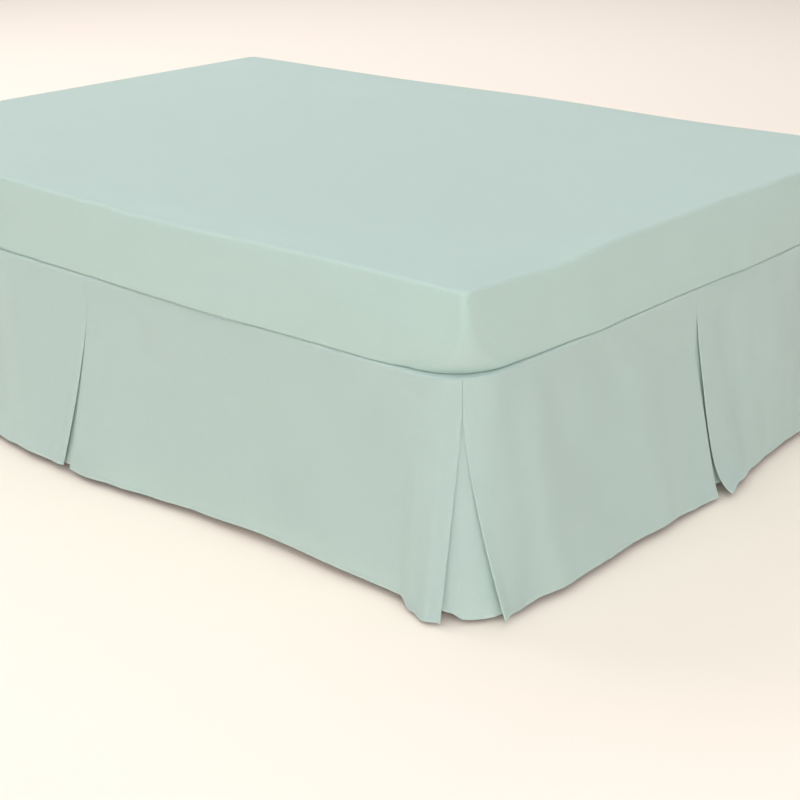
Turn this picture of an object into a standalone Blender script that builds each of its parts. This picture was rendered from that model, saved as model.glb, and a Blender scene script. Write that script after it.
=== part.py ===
"""Bed skirt with inverted box pleats on a plain divan base, under a mattress in a fitted sheet.

Metres, +Z up. The head end is at +Y and the foot end at -Y. The skirt hangs on the left, foot and
right sides, and the floor is at Z = 0. Each skirt panel is one sheet: it starts on top of the base
beside the platform, rolls over the shoulder, hangs to its hem and folds back behind itself at each
pleat. A pleat's underlay is a second sheet, seamed to the two folded-back edges.
"""

import math

import bmesh
import bpy
from mathutils import Vector

# Bed
BED_WIDTH = 1.35
BED_LENGTH = 1.90
CORNER_RADIUS = 0.10
BASE_INSET = 0.0045
BASE_BOTTOM = 0.05
BASE_TOP = 0.4279
BASE_EDGE_RADIUS = 0.015
BED_CENTRE_Y = 0.0345

# Mattress: its corners are drawn in by the fitted sheet's elastic at the bottom
MATTRESS_THICKNESS = 0.1585
MATTRESS_OVERHANG = 0.006
MATTRESS_UNDER_RADIUS = 0.006
MATTRESS_UPPER_RADIUS = 0.011
MATTRESS_UNDER_CORNER = 0.12
MATTRESS_UPPER_CORNER = 0.035
MATTRESS_CROWN = 0.004
MATTRESS_WALL_SWELL = 0.002

# Feet under the base
FOOT_RADIUS = 0.028
FOOT_FROM_SIDE = 0.14
FOOT_FROM_END = 0.16

# Cloth
CLOTH = 0.0015
GAP = 0.0003
SEAM_GAP = 0.0012
PLEAT_GAP = 0.0006
LAYER_STEP = 0.004
TURN_RADIUS = LAYER_STEP / 2
FACE_OUT = 0.0073
NEAREST_OUT = 0.0
SHOULDER_RADIUS = 0.008
SHOULDER_FLAP = 0.019
PLATFORM_LEVEL = BASE_TOP + GAP + CLOTH / 2
SHOULDER_END = PLATFORM_LEVEL - SHOULDER_RADIUS
HEM_HEIGHT = 0.0055
DROP = SHOULDER_END - HEM_HEIGHT
OPENING_POWER = 1.1
KICK_POWER = 9

# Pleats: the cloth folded back behind each panel edge, at the top and at the hem
RETURN_TOP = 0.090
RETURN_HEM = 0.070
OPENING_FADE = 0.30
EDGE_FADE = 0.06
SHOULDER_FADE = 0.05

# Distances along the base's outline, from the head end of the left side round the foot to the right
QUARTER_TURN = math.pi * CORNER_RADIUS / 2
LEFT_MID = BED_LENGTH / 2
LEFT_CORNER = BED_LENGTH - CORNER_RADIUS + QUARTER_TURN / 2
FOOT_MID = BED_LENGTH - CORNER_RADIUS + QUARTER_TURN + BED_WIDTH / 2 - CORNER_RADIUS
RIGHT_CORNER = 2 * FOOT_MID - LEFT_CORNER
RIGHT_MID = 2 * FOOT_MID - LEFT_MID
OUTLINE_END = 2 * FOOT_MID

# Pleats: place on the outline, how far below the shoulder the pleat stays closed, and the share of
# its opening that the panel before it and the panel after it only make as a kick near the hem
PLEATS = {
    "left_mid": (LEFT_MID, 0.075, 0.10, 0.10),
    "left_corner": (LEFT_CORNER, 0.080, 0.0, 0.0),
    "foot_mid": (FOOT_MID, 0.022, 0.10, 0.33),
    "right_corner": (RIGHT_CORNER, 0.080, 0.0, 0.1),
    "right_mid": (RIGHT_MID, 0.065, 0.20, 0.10),
}

# Panels: side, pleat at the first edge, pleat at the last edge (None at the open head end), and the
# hem: place along the side (Y on the sides, X at the foot), reach out of the side's plane, and how
# much shorter the cloth hangs there
PANELS = {
    "left_head": ("left", None, "left_mid", (
        (0.948, 0.012, 0.000), (0.800, 0.010, 0.004), (0.620, 0.024, 0.002),
        (0.470, 0.012, 0.006), (0.360, 0.016, 0.006), (0.270, 0.027, 0.005),
        (0.185, 0.038, 0.002), (0.130, 0.035, 0.000), (0.095, 0.040, 0.001), (0.077, 0.041, 0.005),
    )),
    "left_foot": ("left", "left_mid", "left_corner", (
        (0.062, 0.036, 0.002), (0.020, 0.040, 0.002), (-0.080, 0.032, 0.005),
        (-0.180, 0.018, 0.008), (-0.300, 0.008, 0.010), (-0.450, 0.003, 0.014),
        (-0.620, 0.003, 0.014), (-0.790, 0.005, 0.013), (-0.845, 0.030, 0.004),
        (-0.890, 0.040, 0.002), (-0.920, 0.034, 0.000),
    )),
    "foot_left": ("foot", "left_corner", "foot_mid", (
        (-0.634, 0.058, 0.001), (-0.600, 0.054, 0.005), (-0.530, 0.047, 0.009),
        (-0.430, 0.056, 0.007), (-0.340, 0.056, 0.007), (-0.220, 0.051, 0.007),
        (-0.120, 0.052, 0.008), (-0.040, 0.057, 0.002), (0.027, 0.060, 0.000),
    )),
    "foot_right": ("foot", "foot_mid", "right_corner", (
        (0.052, 0.076, 0.000), (0.100, 0.066, 0.004), (0.180, 0.048, 0.006),
        (0.270, 0.032, 0.008), (0.360, 0.020, 0.011), (0.450, 0.018, 0.011),
        (0.540, 0.030, 0.007), (0.600, 0.046, 0.002), (0.636, 0.050, 0.000),
    )),
    "right_foot": ("right", "right_corner", "right_mid", (
        (-0.918, 0.036, 0.000), (-0.870, 0.040, 0.002), (-0.790, 0.024, 0.006),
        (-0.660, 0.008, 0.010), (-0.500, 0.002, 0.012), (-0.340, 0.010, 0.009),
        (-0.200, 0.016, 0.006), (-0.100, 0.030, 0.002), (-0.036, 0.041, 0.000),
    )),
    "right_head": ("right", "right_mid", None, (
        (0.030, 0.041, 0.001), (0.090, 0.031, 0.003), (0.200, 0.020, 0.007),
        (0.340, 0.026, 0.006), (0.500, 0.010, 0.009), (0.640, 0.006, 0.008),
        (0.800, 0.018, 0.004), (0.948, 0.010, 0.000),
    )),
}

# Soft folds: panel, then metres across from its first edge and down from the shoulder at the fold's
# two ends, its half-width, and its depth, which is negative for a trough
FOLDS = (
    ("left_head", 0.62, 0.04, 0.70, 0.34, 0.050, -0.008),
    ("left_head", 0.70, 0.06, 0.78, 0.32, 0.040, 0.007),
    ("left_head", 0.32, 0.08, 0.40, 0.36, 0.070, 0.008),
    ("left_foot", 0.14, 0.03, 0.28, 0.23, 0.050, -0.009),
    ("left_foot", 0.24, 0.04, 0.42, 0.30, 0.070, 0.009),
    ("left_foot", 0.42, 0.10, 0.56, 0.34, 0.060, -0.006),
    ("left_foot", 0.56, 0.12, 0.68, 0.38, 0.060, 0.006),
    ("left_foot", 0.60, 0.05, 0.74, 0.24, 0.050, -0.007),
    ("left_foot", 0.74, 0.03, 0.80, 0.12, 0.040, 0.005),
    ("foot_left", 0.14, 0.05, 0.15, 0.40, 0.040, 0.008),
    ("foot_left", 0.22, 0.14, 0.31, 0.30, 0.050, -0.007),
    ("foot_left", 0.34, 0.04, 0.42, 0.18, 0.050, -0.006),
    ("foot_left", 0.44, 0.18, 0.46, 0.38, 0.060, 0.009),
    ("foot_right", 0.10, 0.10, 0.16, 0.38, 0.045, -0.007),
    ("foot_right", 0.26, 0.06, 0.34, 0.34, 0.070, 0.009),
    ("foot_right", 0.44, 0.06, 0.42, 0.30, 0.060, -0.006),
    ("right_foot", 0.24, 0.05, 0.34, 0.28, 0.060, -0.009),
    ("right_foot", 0.36, 0.06, 0.46, 0.34, 0.070, 0.009),
    ("right_foot", 0.62, 0.08, 0.56, 0.34, 0.070, -0.007),
    ("right_foot", 0.70, 0.06, 0.66, 0.34, 0.060, 0.007),
    ("right_head", 0.22, 0.05, 0.30, 0.32, 0.060, -0.008),
    ("right_head", 0.38, 0.06, 0.46, 0.34, 0.070, 0.009),
    ("right_head", 0.62, 0.10, 0.70, 0.36, 0.070, -0.006),
)

# Underlays: how far the hem hangs from the base's outline, and how much shorter the cloth hangs, by
# the fraction across between the two inner folds
UNDERLAYS = {
    "left_mid": (
        (0.0, 0.028, 0.000), (0.3, 0.022, 0.004), (0.5, 0.022, 0.006), (0.7, 0.022, 0.004),
        (1.0, 0.022, 0.000),
    ),
    "left_corner": (
        (0.0, 0.026, 0.000), (0.30, 0.026, 0.012), (0.37, 0.030, 0.010), (0.46, 0.033, 0.001),
        (0.60, 0.034, 0.000), (0.8, 0.040, 0.000), (1.0, 0.052, 0.000),
    ),
    "foot_mid": (
        (0.0, 0.048, 0.000), (0.3, 0.044, 0.006), (0.5, 0.044, 0.010), (0.7, 0.046, 0.006),
        (1.0, 0.048, 0.000),
    ),
    "right_corner": (
        (0.0, 0.044, 0.000), (0.25, 0.034, 0.004), (0.45, 0.032, 0.002), (0.6, 0.030, 0.002),
        (0.8, 0.026, 0.006), (1.0, 0.028, 0.000),
    ),
    "right_mid": (
        (0.0, 0.028, 0.000), (0.3, 0.023, 0.004), (0.5, 0.022, 0.006), (0.7, 0.023, 0.004),
        (1.0, 0.028, 0.000),
    ),
}

# Mattress mesh: places along each side, and the crown's rings as inset and share of the crown
MATTRESS_SIDE_POINTS = (0.2, 0.5, 0.8)
MATTRESS_CROWN_RINGS = ((0.08, 0.4), (0.20, 0.75), (0.40, 0.95))
MATTRESS_CORNER_STEPS = 5
MATTRESS_WALL_STEPS = 3
MATTRESS_LEAST_CORNER = 0.01

# Mesh steps
DROP_ROWS = 8
SHOULDER_ROWS = 3
FACE_STEP = 0.052
BEND_STEPS = 4
RETURN_COLUMNS = 2
TURN_COLUMNS = 3
UNDERLAY_COLUMNS = 9
HEIGHT_STEPS = 24
FOLD_SOFTNESS = 0.001
NORMAL_STEP = 0.004

# Colours, as linear red, green and blue
SAGE_COTTON = (0.50, 0.62, 0.55)
FITTED_COTTON = (0.53, 0.64, 0.58)
BASE_TICKING = (0.62, 0.60, 0.55)
BEECH = (0.55, 0.38, 0.22)


def lerp(a, b, f):
    return a + (b - a) * f


def smooth(f):
    f = min(max(f, 0.0), 1.0)
    return f * f * (3 - 2 * f)


def table_value(rows, place, column=1):
    """Value at a place in rows that start with their place, eased from row to row."""
    rows = sorted(rows)
    for before, after in zip(rows, rows[1:]):
        if place <= after[0]:
            f = smooth((place - before[0]) / (after[0] - before[0]))
            return lerp(before[column], after[column], f)
    return rows[-1][column]


def opening(t, closed, kick):
    """Share of the swing reached at t down the drop, which starts below the closed share."""
    past = max((t - closed) / (1 - closed), 0.0)
    return lerp(past ** OPENING_POWER, past ** KICK_POWER, kick)


def outline_point(distance, out):
    """Plan point at a distance along the base's outline, moved out from it."""
    side = BED_LENGTH - CORNER_RADIUS
    half_foot = BED_WIDTH / 2 - CORNER_RADIUS
    mirrored = distance > FOOT_MID
    if mirrored:
        distance = OUTLINE_END - distance
    if distance <= side:
        x = -BED_WIDTH / 2 - out
        y = BED_LENGTH / 2 - distance
    elif distance < side + QUARTER_TURN:
        angle = (distance - side) / CORNER_RADIUS
        x = -half_foot - (CORNER_RADIUS + out) * math.cos(angle)
        y = CORNER_RADIUS - BED_LENGTH / 2 - (CORNER_RADIUS + out) * math.sin(angle)
    else:
        x = -half_foot + distance - side - QUARTER_TURN
        y = -BED_LENGTH / 2 - out
    return Vector((-x if mirrored else x, y, 0))


def side_point(side, along, out):
    """Plan point beside one side of the bed, out of that side's plane."""
    if side == "foot":
        return Vector((along, -BED_LENGTH / 2 - out, 0))
    x = BED_WIDTH / 2 + out
    return Vector((-x if side == "left" else x, along, 0))


class Panel:
    """One flat-cut panel of the skirt, hung between two pleats."""

    def __init__(self, name):
        self.name = name
        self.side, first, last, self.hem = PANELS[name]
        clear = TURN_RADIUS + (CLOTH + PLEAT_GAP) / 2
        self.first_pleat = first
        self.last_pleat = last
        self.start = PLEATS[first][0] + clear if first else CLOTH
        self.end = PLEATS[last][0] - clear if last else OUTLINE_END - CLOTH
        self.length = self.end - self.start
        self.first_closed = PLEATS[first][1] if first else 0.0
        self.last_closed = PLEATS[last][1] if last else 0.0
        self.first_kick = PLEATS[first][3] if first else 0.0
        self.last_kick = PLEATS[last][2] if last else 0.0
        self.folds = [row[1:] for row in FOLDS if row[0] == name]

    def stations(self):
        """Places of the mesh columns across the panel, closer together round a corner of the bed."""
        bend = QUARTER_TURN / 2
        straight_from = bend if (self.first_pleat or "").endswith("corner") else 0.0
        straight_to = self.length - (bend if (self.last_pleat or "").endswith("corner") else 0.0)
        steps = round((straight_to - straight_from) / FACE_STEP)
        places = [lerp(straight_from, straight_to, i / steps) for i in range(steps + 1)]
        if straight_from:
            places = [bend * i / BEND_STEPS for i in range(BEND_STEPS)] + places
        if straight_to < self.length:
            places += [straight_to + bend * (i + 1) / BEND_STEPS for i in range(BEND_STEPS)]
        return places

    def opened(self, across, t):
        """How far a column has swung from the shoulder's line, 0, to the hem's, 1, at t down it."""
        near_first = smooth(1 - across / OPENING_FADE)
        near_last = smooth(1 - (self.length - across) / OPENING_FADE)
        closed = (self.first_closed * near_first + self.last_closed * near_last) / DROP
        kick = self.first_kick * near_first + self.last_kick * near_last
        return opening(t, closed, kick)

    def along(self, across):
        """Place of a column's hem along the side."""
        return lerp(self.hem[0][0], self.hem[-1][0], across / self.length)

    def room(self, across, opened):
        """How far the cloth can be pushed in, past the layers folded behind it, before the base."""
        reach = lerp(FACE_OUT, table_value(self.hem, self.along(across)), opened)
        past_first = across - RETURN_TOP if self.first_pleat else self.length
        past_last = self.length - across - RETURN_TOP if self.last_pleat else self.length
        single = smooth((min(past_first, past_last) - EDGE_FADE / 2) / RETURN_TOP)
        return max(reach - lerp(FACE_OUT, NEAREST_OUT, single), 0.0)

    def fold(self, across, down, room):
        """Outward push of the soft folds, none at the pleat edges, and inward no further than the room."""
        push = 0.0
        for across_a, down_a, across_b, down_b, width, depth in self.folds:
            run = Vector((across_b - across_a, down_b - down_a))
            reach = Vector((across - across_a, down - down_a))
            f = min(max(reach.dot(run) / run.length_squared, 0.0), 1.0)
            push += depth * math.exp(-((reach - run * f).length / width) ** 2)
        edge = min(across, self.length - across)
        push *= smooth(edge / EDGE_FADE) * smooth(down / SHOULDER_FADE)
        return (push - room + math.hypot(push + room, FOLD_SOFTNESS)) / 2

    def point(self, across, t):
        """Middle of the cloth, metres across from the first edge and t down from shoulder to hem."""
        along = self.along(across)
        top = outline_point(self.start + across, FACE_OUT)
        hem = side_point(self.side, along, table_value(self.hem, along))
        length = DROP - table_value(self.hem, along, 2)
        swing = (hem - top).length / length
        step = t / HEIGHT_STEPS
        swung = [self.opened(across, step * i) for i in range(HEIGHT_STEPS + 1)]
        fallen = sum(
            math.sqrt(max(step ** 2 - (swing * (after - before)) ** 2, 0.0))
            for before, after in zip(swung, swung[1:])
        )
        place = top.lerp(hem, swung[-1])
        push = self.fold(across, t * DROP, self.room(across, swung[-1]))
        place += side_point(self.side, 0, push) - side_point(self.side, 0, 0)
        place.z = SHOULDER_END - length * fallen
        return place

    def frame(self, across, t):
        """Point, tangent across and outward normal of the cloth."""
        back = max(across - NORMAL_STEP, 0.0)
        ahead = min(across + NORMAL_STEP, self.length)
        tangent = (self.point(ahead, t) - self.point(back, t)).normalized()
        rise = NORMAL_STEP / DROP
        upper = max(t - rise, 0.0)
        lower = min(t + rise, 1.0)
        down = (self.point(across, lower) - self.point(across, upper)).normalized()
        return self.point(across, t), tangent, down.cross(tangent).normalized()

    def behind(self, across, t, depth):
        """Point at a depth behind the cloth."""
        place, _, normal = self.frame(across, t)
        return place - normal * depth

    def fold_back(self, last, t):
        """A folded-back edge, from its seam under the panel round to the fold: its points in order."""
        edge = self.length if last else 0.0
        inward = -1 if last else 1
        width = return_width(t) - SEAM_GAP / 2
        column = [
            self.behind(edge + inward * lerp(width, 0.0, i / RETURN_COLUMNS), t, LAYER_STEP)
            for i in range(RETURN_COLUMNS)
        ]
        place, tangent, normal = self.frame(edge, t)
        for i in range(TURN_COLUMNS):
            angle = math.pi * (1 - i / TURN_COLUMNS)
            reach = -inward * TURN_RADIUS * math.sin(angle)
            depth = TURN_RADIUS * (1 - math.cos(angle))
            column.append(place + tangent * reach - normal * depth)
        return column

    def seam_frame(self, last, t):
        """Where the folded-back edge is seamed to the underlay."""
        edge = self.length if last else 0.0
        inward = -1 if last else 1
        return self.frame(edge + inward * (return_width(t) + SEAM_GAP / 2), t)


def return_width(t):
    return lerp(RETURN_TOP, RETURN_HEM, t)


def shoulder_point(panel, across, row):
    """Point of the shoulder: row 0 is the edge beside the platform, the last row starts the drop."""
    stretch = TURN_RADIUS + CLOTH / 2
    if panel.first_pleat and across == 0:
        across = -stretch
    elif panel.last_pleat and across == panel.length:
        across = panel.length + stretch
    angle = math.pi / 2 * (1 - (row - 1) / SHOULDER_ROWS) if row else math.pi / 2
    out = FACE_OUT - SHOULDER_RADIUS * (1 - math.cos(angle))
    if row == 0:
        out -= SHOULDER_FLAP
    place = outline_point(panel.start + across, out)
    place.z = SHOULDER_END + SHOULDER_RADIUS * math.sin(angle)
    return place


def material(name, colour, roughness):
    """A matt material of one colour, given as linear red, green and blue."""
    made = bpy.data.materials.new(name)
    made.use_nodes = True
    shader = made.node_tree.nodes["Principled BSDF"]
    shader.inputs["Base Color"].default_value = (*colour, 1)
    shader.inputs["Roughness"].default_value = roughness
    shader.inputs["Metallic"].default_value = 0.0
    return made


def add_object(name, bm, finish, parent, smooth_angle=60):
    """Turns a bmesh into an object of the collection, carried by the parent empty."""
    mesh = bpy.data.meshes.new(name)
    bm.to_mesh(mesh)
    bm.free()
    mesh.shade_smooth()
    mesh.set_sharp_from_angle(angle=math.radians(smooth_angle))
    mesh.materials.append(finish)
    made = bpy.data.objects.new(name, mesh)
    made.parent = parent
    parent.users_collection[0].objects.link(made)
    return made


def add_sheet(name, rows, finish, parent):
    """A cloth sheet from rows of points, where None leaves a place without cloth."""
    bm = bmesh.new()
    bmesh.ops.create_grid(bm, x_segments=len(rows[0]) - 1, y_segments=len(rows) - 1, size=0.5)
    across = len(rows[0]) - 1
    down = len(rows) - 1
    bare = []
    for vertex in bm.verts:
        i = round((vertex.co.x + 0.5) * across)
        j = round((0.5 - vertex.co.y) * down)
        if rows[j][i] is None:
            bare.append(vertex)
        else:
            vertex.co = rows[j][i]
    bmesh.ops.delete(bm, geom=bare, context="VERTS")
    sheet = add_object(name, bm, finish, parent)
    solid = sheet.modifiers.new("thickness", "SOLIDIFY")
    solid.thickness = CLOTH
    solid.offset = 0
    return sheet


def make_panel(panel, finish, parent):
    """One skirt panel with its shoulder, hem and folded-back pleat edges."""
    stations = panel.stations()
    hidden = [None] * (RETURN_COLUMNS + TURN_COLUMNS)
    bare_first = hidden if panel.first_pleat else []
    bare_last = hidden if panel.last_pleat else []
    rows = []
    for row in range(SHOULDER_ROWS + 1):
        face = [shoulder_point(panel, across, row) for across in stations]
        rows.append(bare_first + face + bare_last)
    for row in range(DROP_ROWS + 1):
        t = row / DROP_ROWS
        first = panel.fold_back(False, t) if panel.first_pleat else []
        last = panel.fold_back(True, t)[::-1] if panel.last_pleat else []
        rows.append(first + [panel.point(across, t) for across in stations] + last)
    add_sheet("skirt_panel_" + panel.name, rows, finish, parent)


def make_underlay(pleat, before, after, finish, parent):
    """The strip behind one pleat, from the seam of the panel before it to that of the panel after."""
    centre, closed, kick_before, kick_after = PLEATS[pleat]
    hem = UNDERLAYS[pleat]
    drift = (before.hem[-1][0] + after.hem[0][0]) / 2 if before.side == after.side else 0.0
    if before.side == "left":
        drift = -drift
    rows = []
    for row in range(DROP_ROWS + 1):
        t = row / DROP_ROWS
        width = return_width(t)
        opened = opening(t, closed / DROP, (kick_before + kick_after) / 2)
        seam_a, tangent_a, normal_a = before.seam_frame(True, t)
        seam_b, tangent_b, normal_b = after.seam_frame(False, t)
        hem_drift = drift * opened
        middle = []
        for i in range(UNDERLAY_COLUMNS + 1):
            f = i / UNDERLAY_COLUMNS
            reach = lerp(FACE_OUT - 2 * LAYER_STEP, table_value(hem, f), opened)
            place = outline_point(centre + hem_drift + width * (2 * f - 1), reach)
            place.z = lerp(seam_a.z, seam_b.z, f) + table_value(hem, f, 2) * t
            middle.append(place)
        shift_a = seam_a - normal_a * 2 * LAYER_STEP - middle[0]
        shift_b = seam_b - normal_b * 2 * LAYER_STEP - middle[-1]
        for i, place in enumerate(middle):
            f = i / UNDERLAY_COLUMNS
            place += shift_a * smooth(1 - 3 * f)
            place += shift_b * smooth(3 * f - 2)
        turn_a = []
        turn_b = []
        for i in range(TURN_COLUMNS):
            angle = math.pi * i / TURN_COLUMNS
            depth = LAYER_STEP + TURN_RADIUS * (1 - math.cos(angle))
            reach = TURN_RADIUS * math.sin(angle)
            turn_a.append(seam_a - tangent_a * reach - normal_a * depth)
            turn_b.append(seam_b + tangent_b * reach - normal_b * depth)
        rows.append(turn_a + middle + turn_b[::-1])
    add_sheet("pleat_underlay_" + pleat, rows, finish, parent)


def make_platform(finish, parent):
    """The flat sheet between base and mattress, its edge butted to the panels' shoulder flaps."""
    reach = FACE_OUT - SHOULDER_RADIUS - SHOULDER_FLAP - SEAM_GAP
    corner_steps = 2 * BEND_STEPS
    half = []
    for i in range(corner_steps + 1):
        distance = BED_LENGTH - CORNER_RADIUS + QUARTER_TURN * i / corner_steps
        half.append(outline_point(distance, reach))
    start = outline_point(CLOTH, reach)
    points = [start, *half]
    points += [Vector((-place.x, place.y, 0)) for place in reversed(points)]
    bm = bmesh.new()
    bm.faces.new([bm.verts.new((place.x, place.y, PLATFORM_LEVEL)) for place in points])
    sheet = add_object("skirt_platform", bm, finish, parent)
    solid = sheet.modifiers.new("thickness", "SOLIDIFY")
    solid.thickness = CLOTH
    solid.offset = 0


def make_base(finish, parent):
    """The divan base: a box with rounded corners and a rounded top edge."""
    bm = bmesh.new()
    bmesh.ops.create_cube(bm, size=1)
    size = Vector((BED_WIDTH - 2 * BASE_INSET, BED_LENGTH - 2 * BASE_INSET, BASE_TOP - BASE_BOTTOM))
    bmesh.ops.scale(bm, vec=size, verts=bm.verts)
    bmesh.ops.translate(bm, vec=(0, 0, (BASE_TOP + BASE_BOTTOM) / 2), verts=bm.verts)
    uprights = [
        edge for edge in bm.edges
        if abs(edge.verts[0].co.z - edge.verts[1].co.z) > 0.1 and edge.verts[0].co.y < 0
    ]
    bmesh.ops.bevel(
        bm, geom=uprights, offset=CORNER_RADIUS - BASE_INSET, segments=8, profile=0.5, affect="EDGES"
    )
    rim = [edge for edge in bm.edges if min(vertex.co.z for vertex in edge.verts) > BASE_TOP - 0.001]
    bmesh.ops.bevel(bm, geom=rim, offset=BASE_EDGE_RADIUS, segments=3, profile=0.5, affect="EDGES")
    add_object("bed_base", bm, finish, parent, 40)


def make_feet(finish, parent):
    """Six plain turned feet under the base."""
    number = 0
    for y_side in (-1, 0, 1):
        for x_side in (-1, 1):
            number += 1
            bm = bmesh.new()
            bmesh.ops.create_cone(
                bm, cap_ends=True, segments=24, radius1=FOOT_RADIUS, radius2=FOOT_RADIUS,
                depth=BASE_BOTTOM - GAP,
            )
            bmesh.ops.translate(bm, vec=(0, 0, (BASE_BOTTOM - GAP) / 2), verts=bm.verts)
            foot = add_object(f"base_foot_{number}", bm, finish, parent, 40)
            foot.location.x = x_side * (BED_WIDTH / 2 - FOOT_FROM_SIDE)
            foot.location.y = y_side * (BED_LENGTH / 2 - FOOT_FROM_END)


def mattress_ring(corner, level, inset):
    """Points round the mattress at one level, inset from its sides, with the same count at any size."""
    half_width = BED_WIDTH / 2 + MATTRESS_OVERHANG - inset
    half_length = BED_LENGTH / 2 + MATTRESS_OVERHANG - inset
    radius = max(corner - inset, MATTRESS_LEAST_CORNER)
    turn = math.pi / 2 / MATTRESS_CORNER_STEPS
    corners = []
    for quarter, (side, end) in enumerate(((1, 1), (-1, 1), (-1, -1), (1, -1))):
        centre = Vector((side * (half_width - radius), end * (half_length - radius), level))
        angles = [quarter * math.pi / 2 + turn * i for i in range(MATTRESS_CORNER_STEPS + 1)]
        corners.append([centre + Vector((math.cos(a), math.sin(a), 0)) * radius for a in angles])
    points = []
    for corner_points, following in zip(corners, corners[1:] + corners[:1]):
        points += corner_points
        points += [corner_points[-1].lerp(following[0], f) for f in MATTRESS_SIDE_POINTS]
    return points


def make_mattress(finish, parent):
    """The mattress in its fitted sheet: a filled solid with soft edges and a crowned top."""
    bottom = PLATFORM_LEVEL + CLOTH / 2 + GAP
    top = bottom + MATTRESS_THICKNESS
    wall_low = bottom + MATTRESS_UNDER_RADIUS
    wall_high = top - MATTRESS_CROWN - MATTRESS_UPPER_RADIUS
    rings = []
    for degrees in (90, 60, 30):
        angle = math.radians(degrees)
        level = wall_low - MATTRESS_UNDER_RADIUS * math.sin(angle)
        inset = MATTRESS_UNDER_RADIUS * (1 - math.cos(angle))
        rings.append(mattress_ring(MATTRESS_UNDER_CORNER, level, inset))
    for i in range(MATTRESS_WALL_STEPS + 1):
        f = i / MATTRESS_WALL_STEPS
        corner = lerp(MATTRESS_UNDER_CORNER, MATTRESS_UPPER_CORNER, f)
        swell = MATTRESS_WALL_SWELL * math.sin(math.pi * f)
        rings.append(mattress_ring(corner, lerp(wall_low, wall_high, f), -swell))
    for degrees in (30, 60, 85):
        angle = math.radians(degrees)
        level = wall_high + MATTRESS_UPPER_RADIUS * math.sin(angle)
        inset = MATTRESS_UPPER_RADIUS * (1 - math.cos(angle))
        rings.append(mattress_ring(MATTRESS_UPPER_CORNER, level, inset))
    for inset, share in MATTRESS_CROWN_RINGS:
        rings.append(mattress_ring(MATTRESS_UPPER_CORNER, top - MATTRESS_CROWN * (1 - share), inset))
    bm = bmesh.new()
    loops = []
    for points in rings:
        verts = [bm.verts.new(place) for place in points]
        loops.append([bm.edges.new((verts[i - 1], verts[i])) for i in range(len(verts))])
    for lower, upper in zip(loops, loops[1:]):
        bmesh.ops.bridge_loops(bm, edges=lower + upper)
    bmesh.ops.edgeloop_fill(bm, edges=loops[0])
    bmesh.ops.edgeloop_fill(bm, edges=loops[-1])
    bmesh.ops.recalc_face_normals(bm, faces=bm.faces)
    add_object("mattress", bm, finish, parent, 50)


def main():
    for old in list(bpy.data.objects):
        bpy.data.objects.remove(old, do_unlink=True)
    collection = bpy.data.collections.new("bed_skirt")
    bpy.context.scene.collection.children.link(collection)
    bed = bpy.data.objects.new("bed", None)
    bed.location.y = BED_CENTRE_Y
    collection.objects.link(bed)
    skirt_cotton = material("sage_cotton", SAGE_COTTON, 0.85)
    panels = {name: Panel(name) for name in PANELS}
    for panel in panels.values():
        make_panel(panel, skirt_cotton, bed)
    for pleat in PLEATS:
        before = next(panel for panel in panels.values() if panel.last_pleat == pleat)
        after = next(panel for panel in panels.values() if panel.first_pleat == pleat)
        make_underlay(pleat, before, after, skirt_cotton, bed)
    make_platform(skirt_cotton, bed)
    make_base(material("base_ticking", BASE_TICKING, 0.9), bed)
    make_feet(material("beech", BEECH, 0.5), bed)
    make_mattress(material("fitted_cotton", FITTED_COTTON, 0.85), bed)


main()
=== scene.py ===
"""Bed skirt with inverted box pleats on a divan base, under a mattress in a fitted sheet.

Metres, +Z up. The head end is at +Y and the foot end at -Y. A panel's places are given as metres
across from its first edge, going from the head end's left round the foot to the head end's right,
and metres down from the shoulder where it leaves the top of the base.
"""

import math

import bpy
import numpy as np
from mathutils import Matrix, Vector


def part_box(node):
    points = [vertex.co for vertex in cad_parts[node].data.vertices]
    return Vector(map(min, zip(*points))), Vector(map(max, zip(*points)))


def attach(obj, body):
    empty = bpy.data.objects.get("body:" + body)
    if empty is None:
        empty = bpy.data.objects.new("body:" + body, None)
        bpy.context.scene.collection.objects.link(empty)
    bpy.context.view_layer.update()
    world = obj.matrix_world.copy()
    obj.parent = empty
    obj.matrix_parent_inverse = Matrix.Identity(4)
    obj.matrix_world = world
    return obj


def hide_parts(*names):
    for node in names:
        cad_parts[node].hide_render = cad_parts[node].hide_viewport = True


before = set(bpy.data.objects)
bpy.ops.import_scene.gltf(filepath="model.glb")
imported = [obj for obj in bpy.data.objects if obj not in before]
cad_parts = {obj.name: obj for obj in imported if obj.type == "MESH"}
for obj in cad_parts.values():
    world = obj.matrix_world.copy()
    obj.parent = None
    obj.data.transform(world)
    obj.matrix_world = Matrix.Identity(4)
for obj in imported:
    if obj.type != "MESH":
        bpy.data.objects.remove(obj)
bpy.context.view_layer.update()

bl_info = {
    "name": "Box-pleated bed skirt",
    "version": (1, 0, 0),
    "blender": (4, 5, 0),
    "location": "View3D > Sidebar > Bed Skirt",
    "description": "Makes a tailored bed skirt on a divan base under a mattress in a fitted sheet",
    "category": "Object",
}

# Bed, from the frame
BASE_INSET = 0.0045
BASE_LOW, BASE_HIGH = (Vector(corner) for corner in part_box("bed_base"))
BED_CENTRE_Y = (BASE_LOW.y + BASE_HIGH.y) / 2
BED_WIDTH = BASE_HIGH.x - BASE_LOW.x + 2 * BASE_INSET
BED_LENGTH = BASE_HIGH.y - BASE_LOW.y + 2 * BASE_INSET
CORNER_RADIUS = 0.10
HALF_WIDTH = BED_WIDTH / 2
HALF_LENGTH = BED_LENGTH / 2

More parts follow.
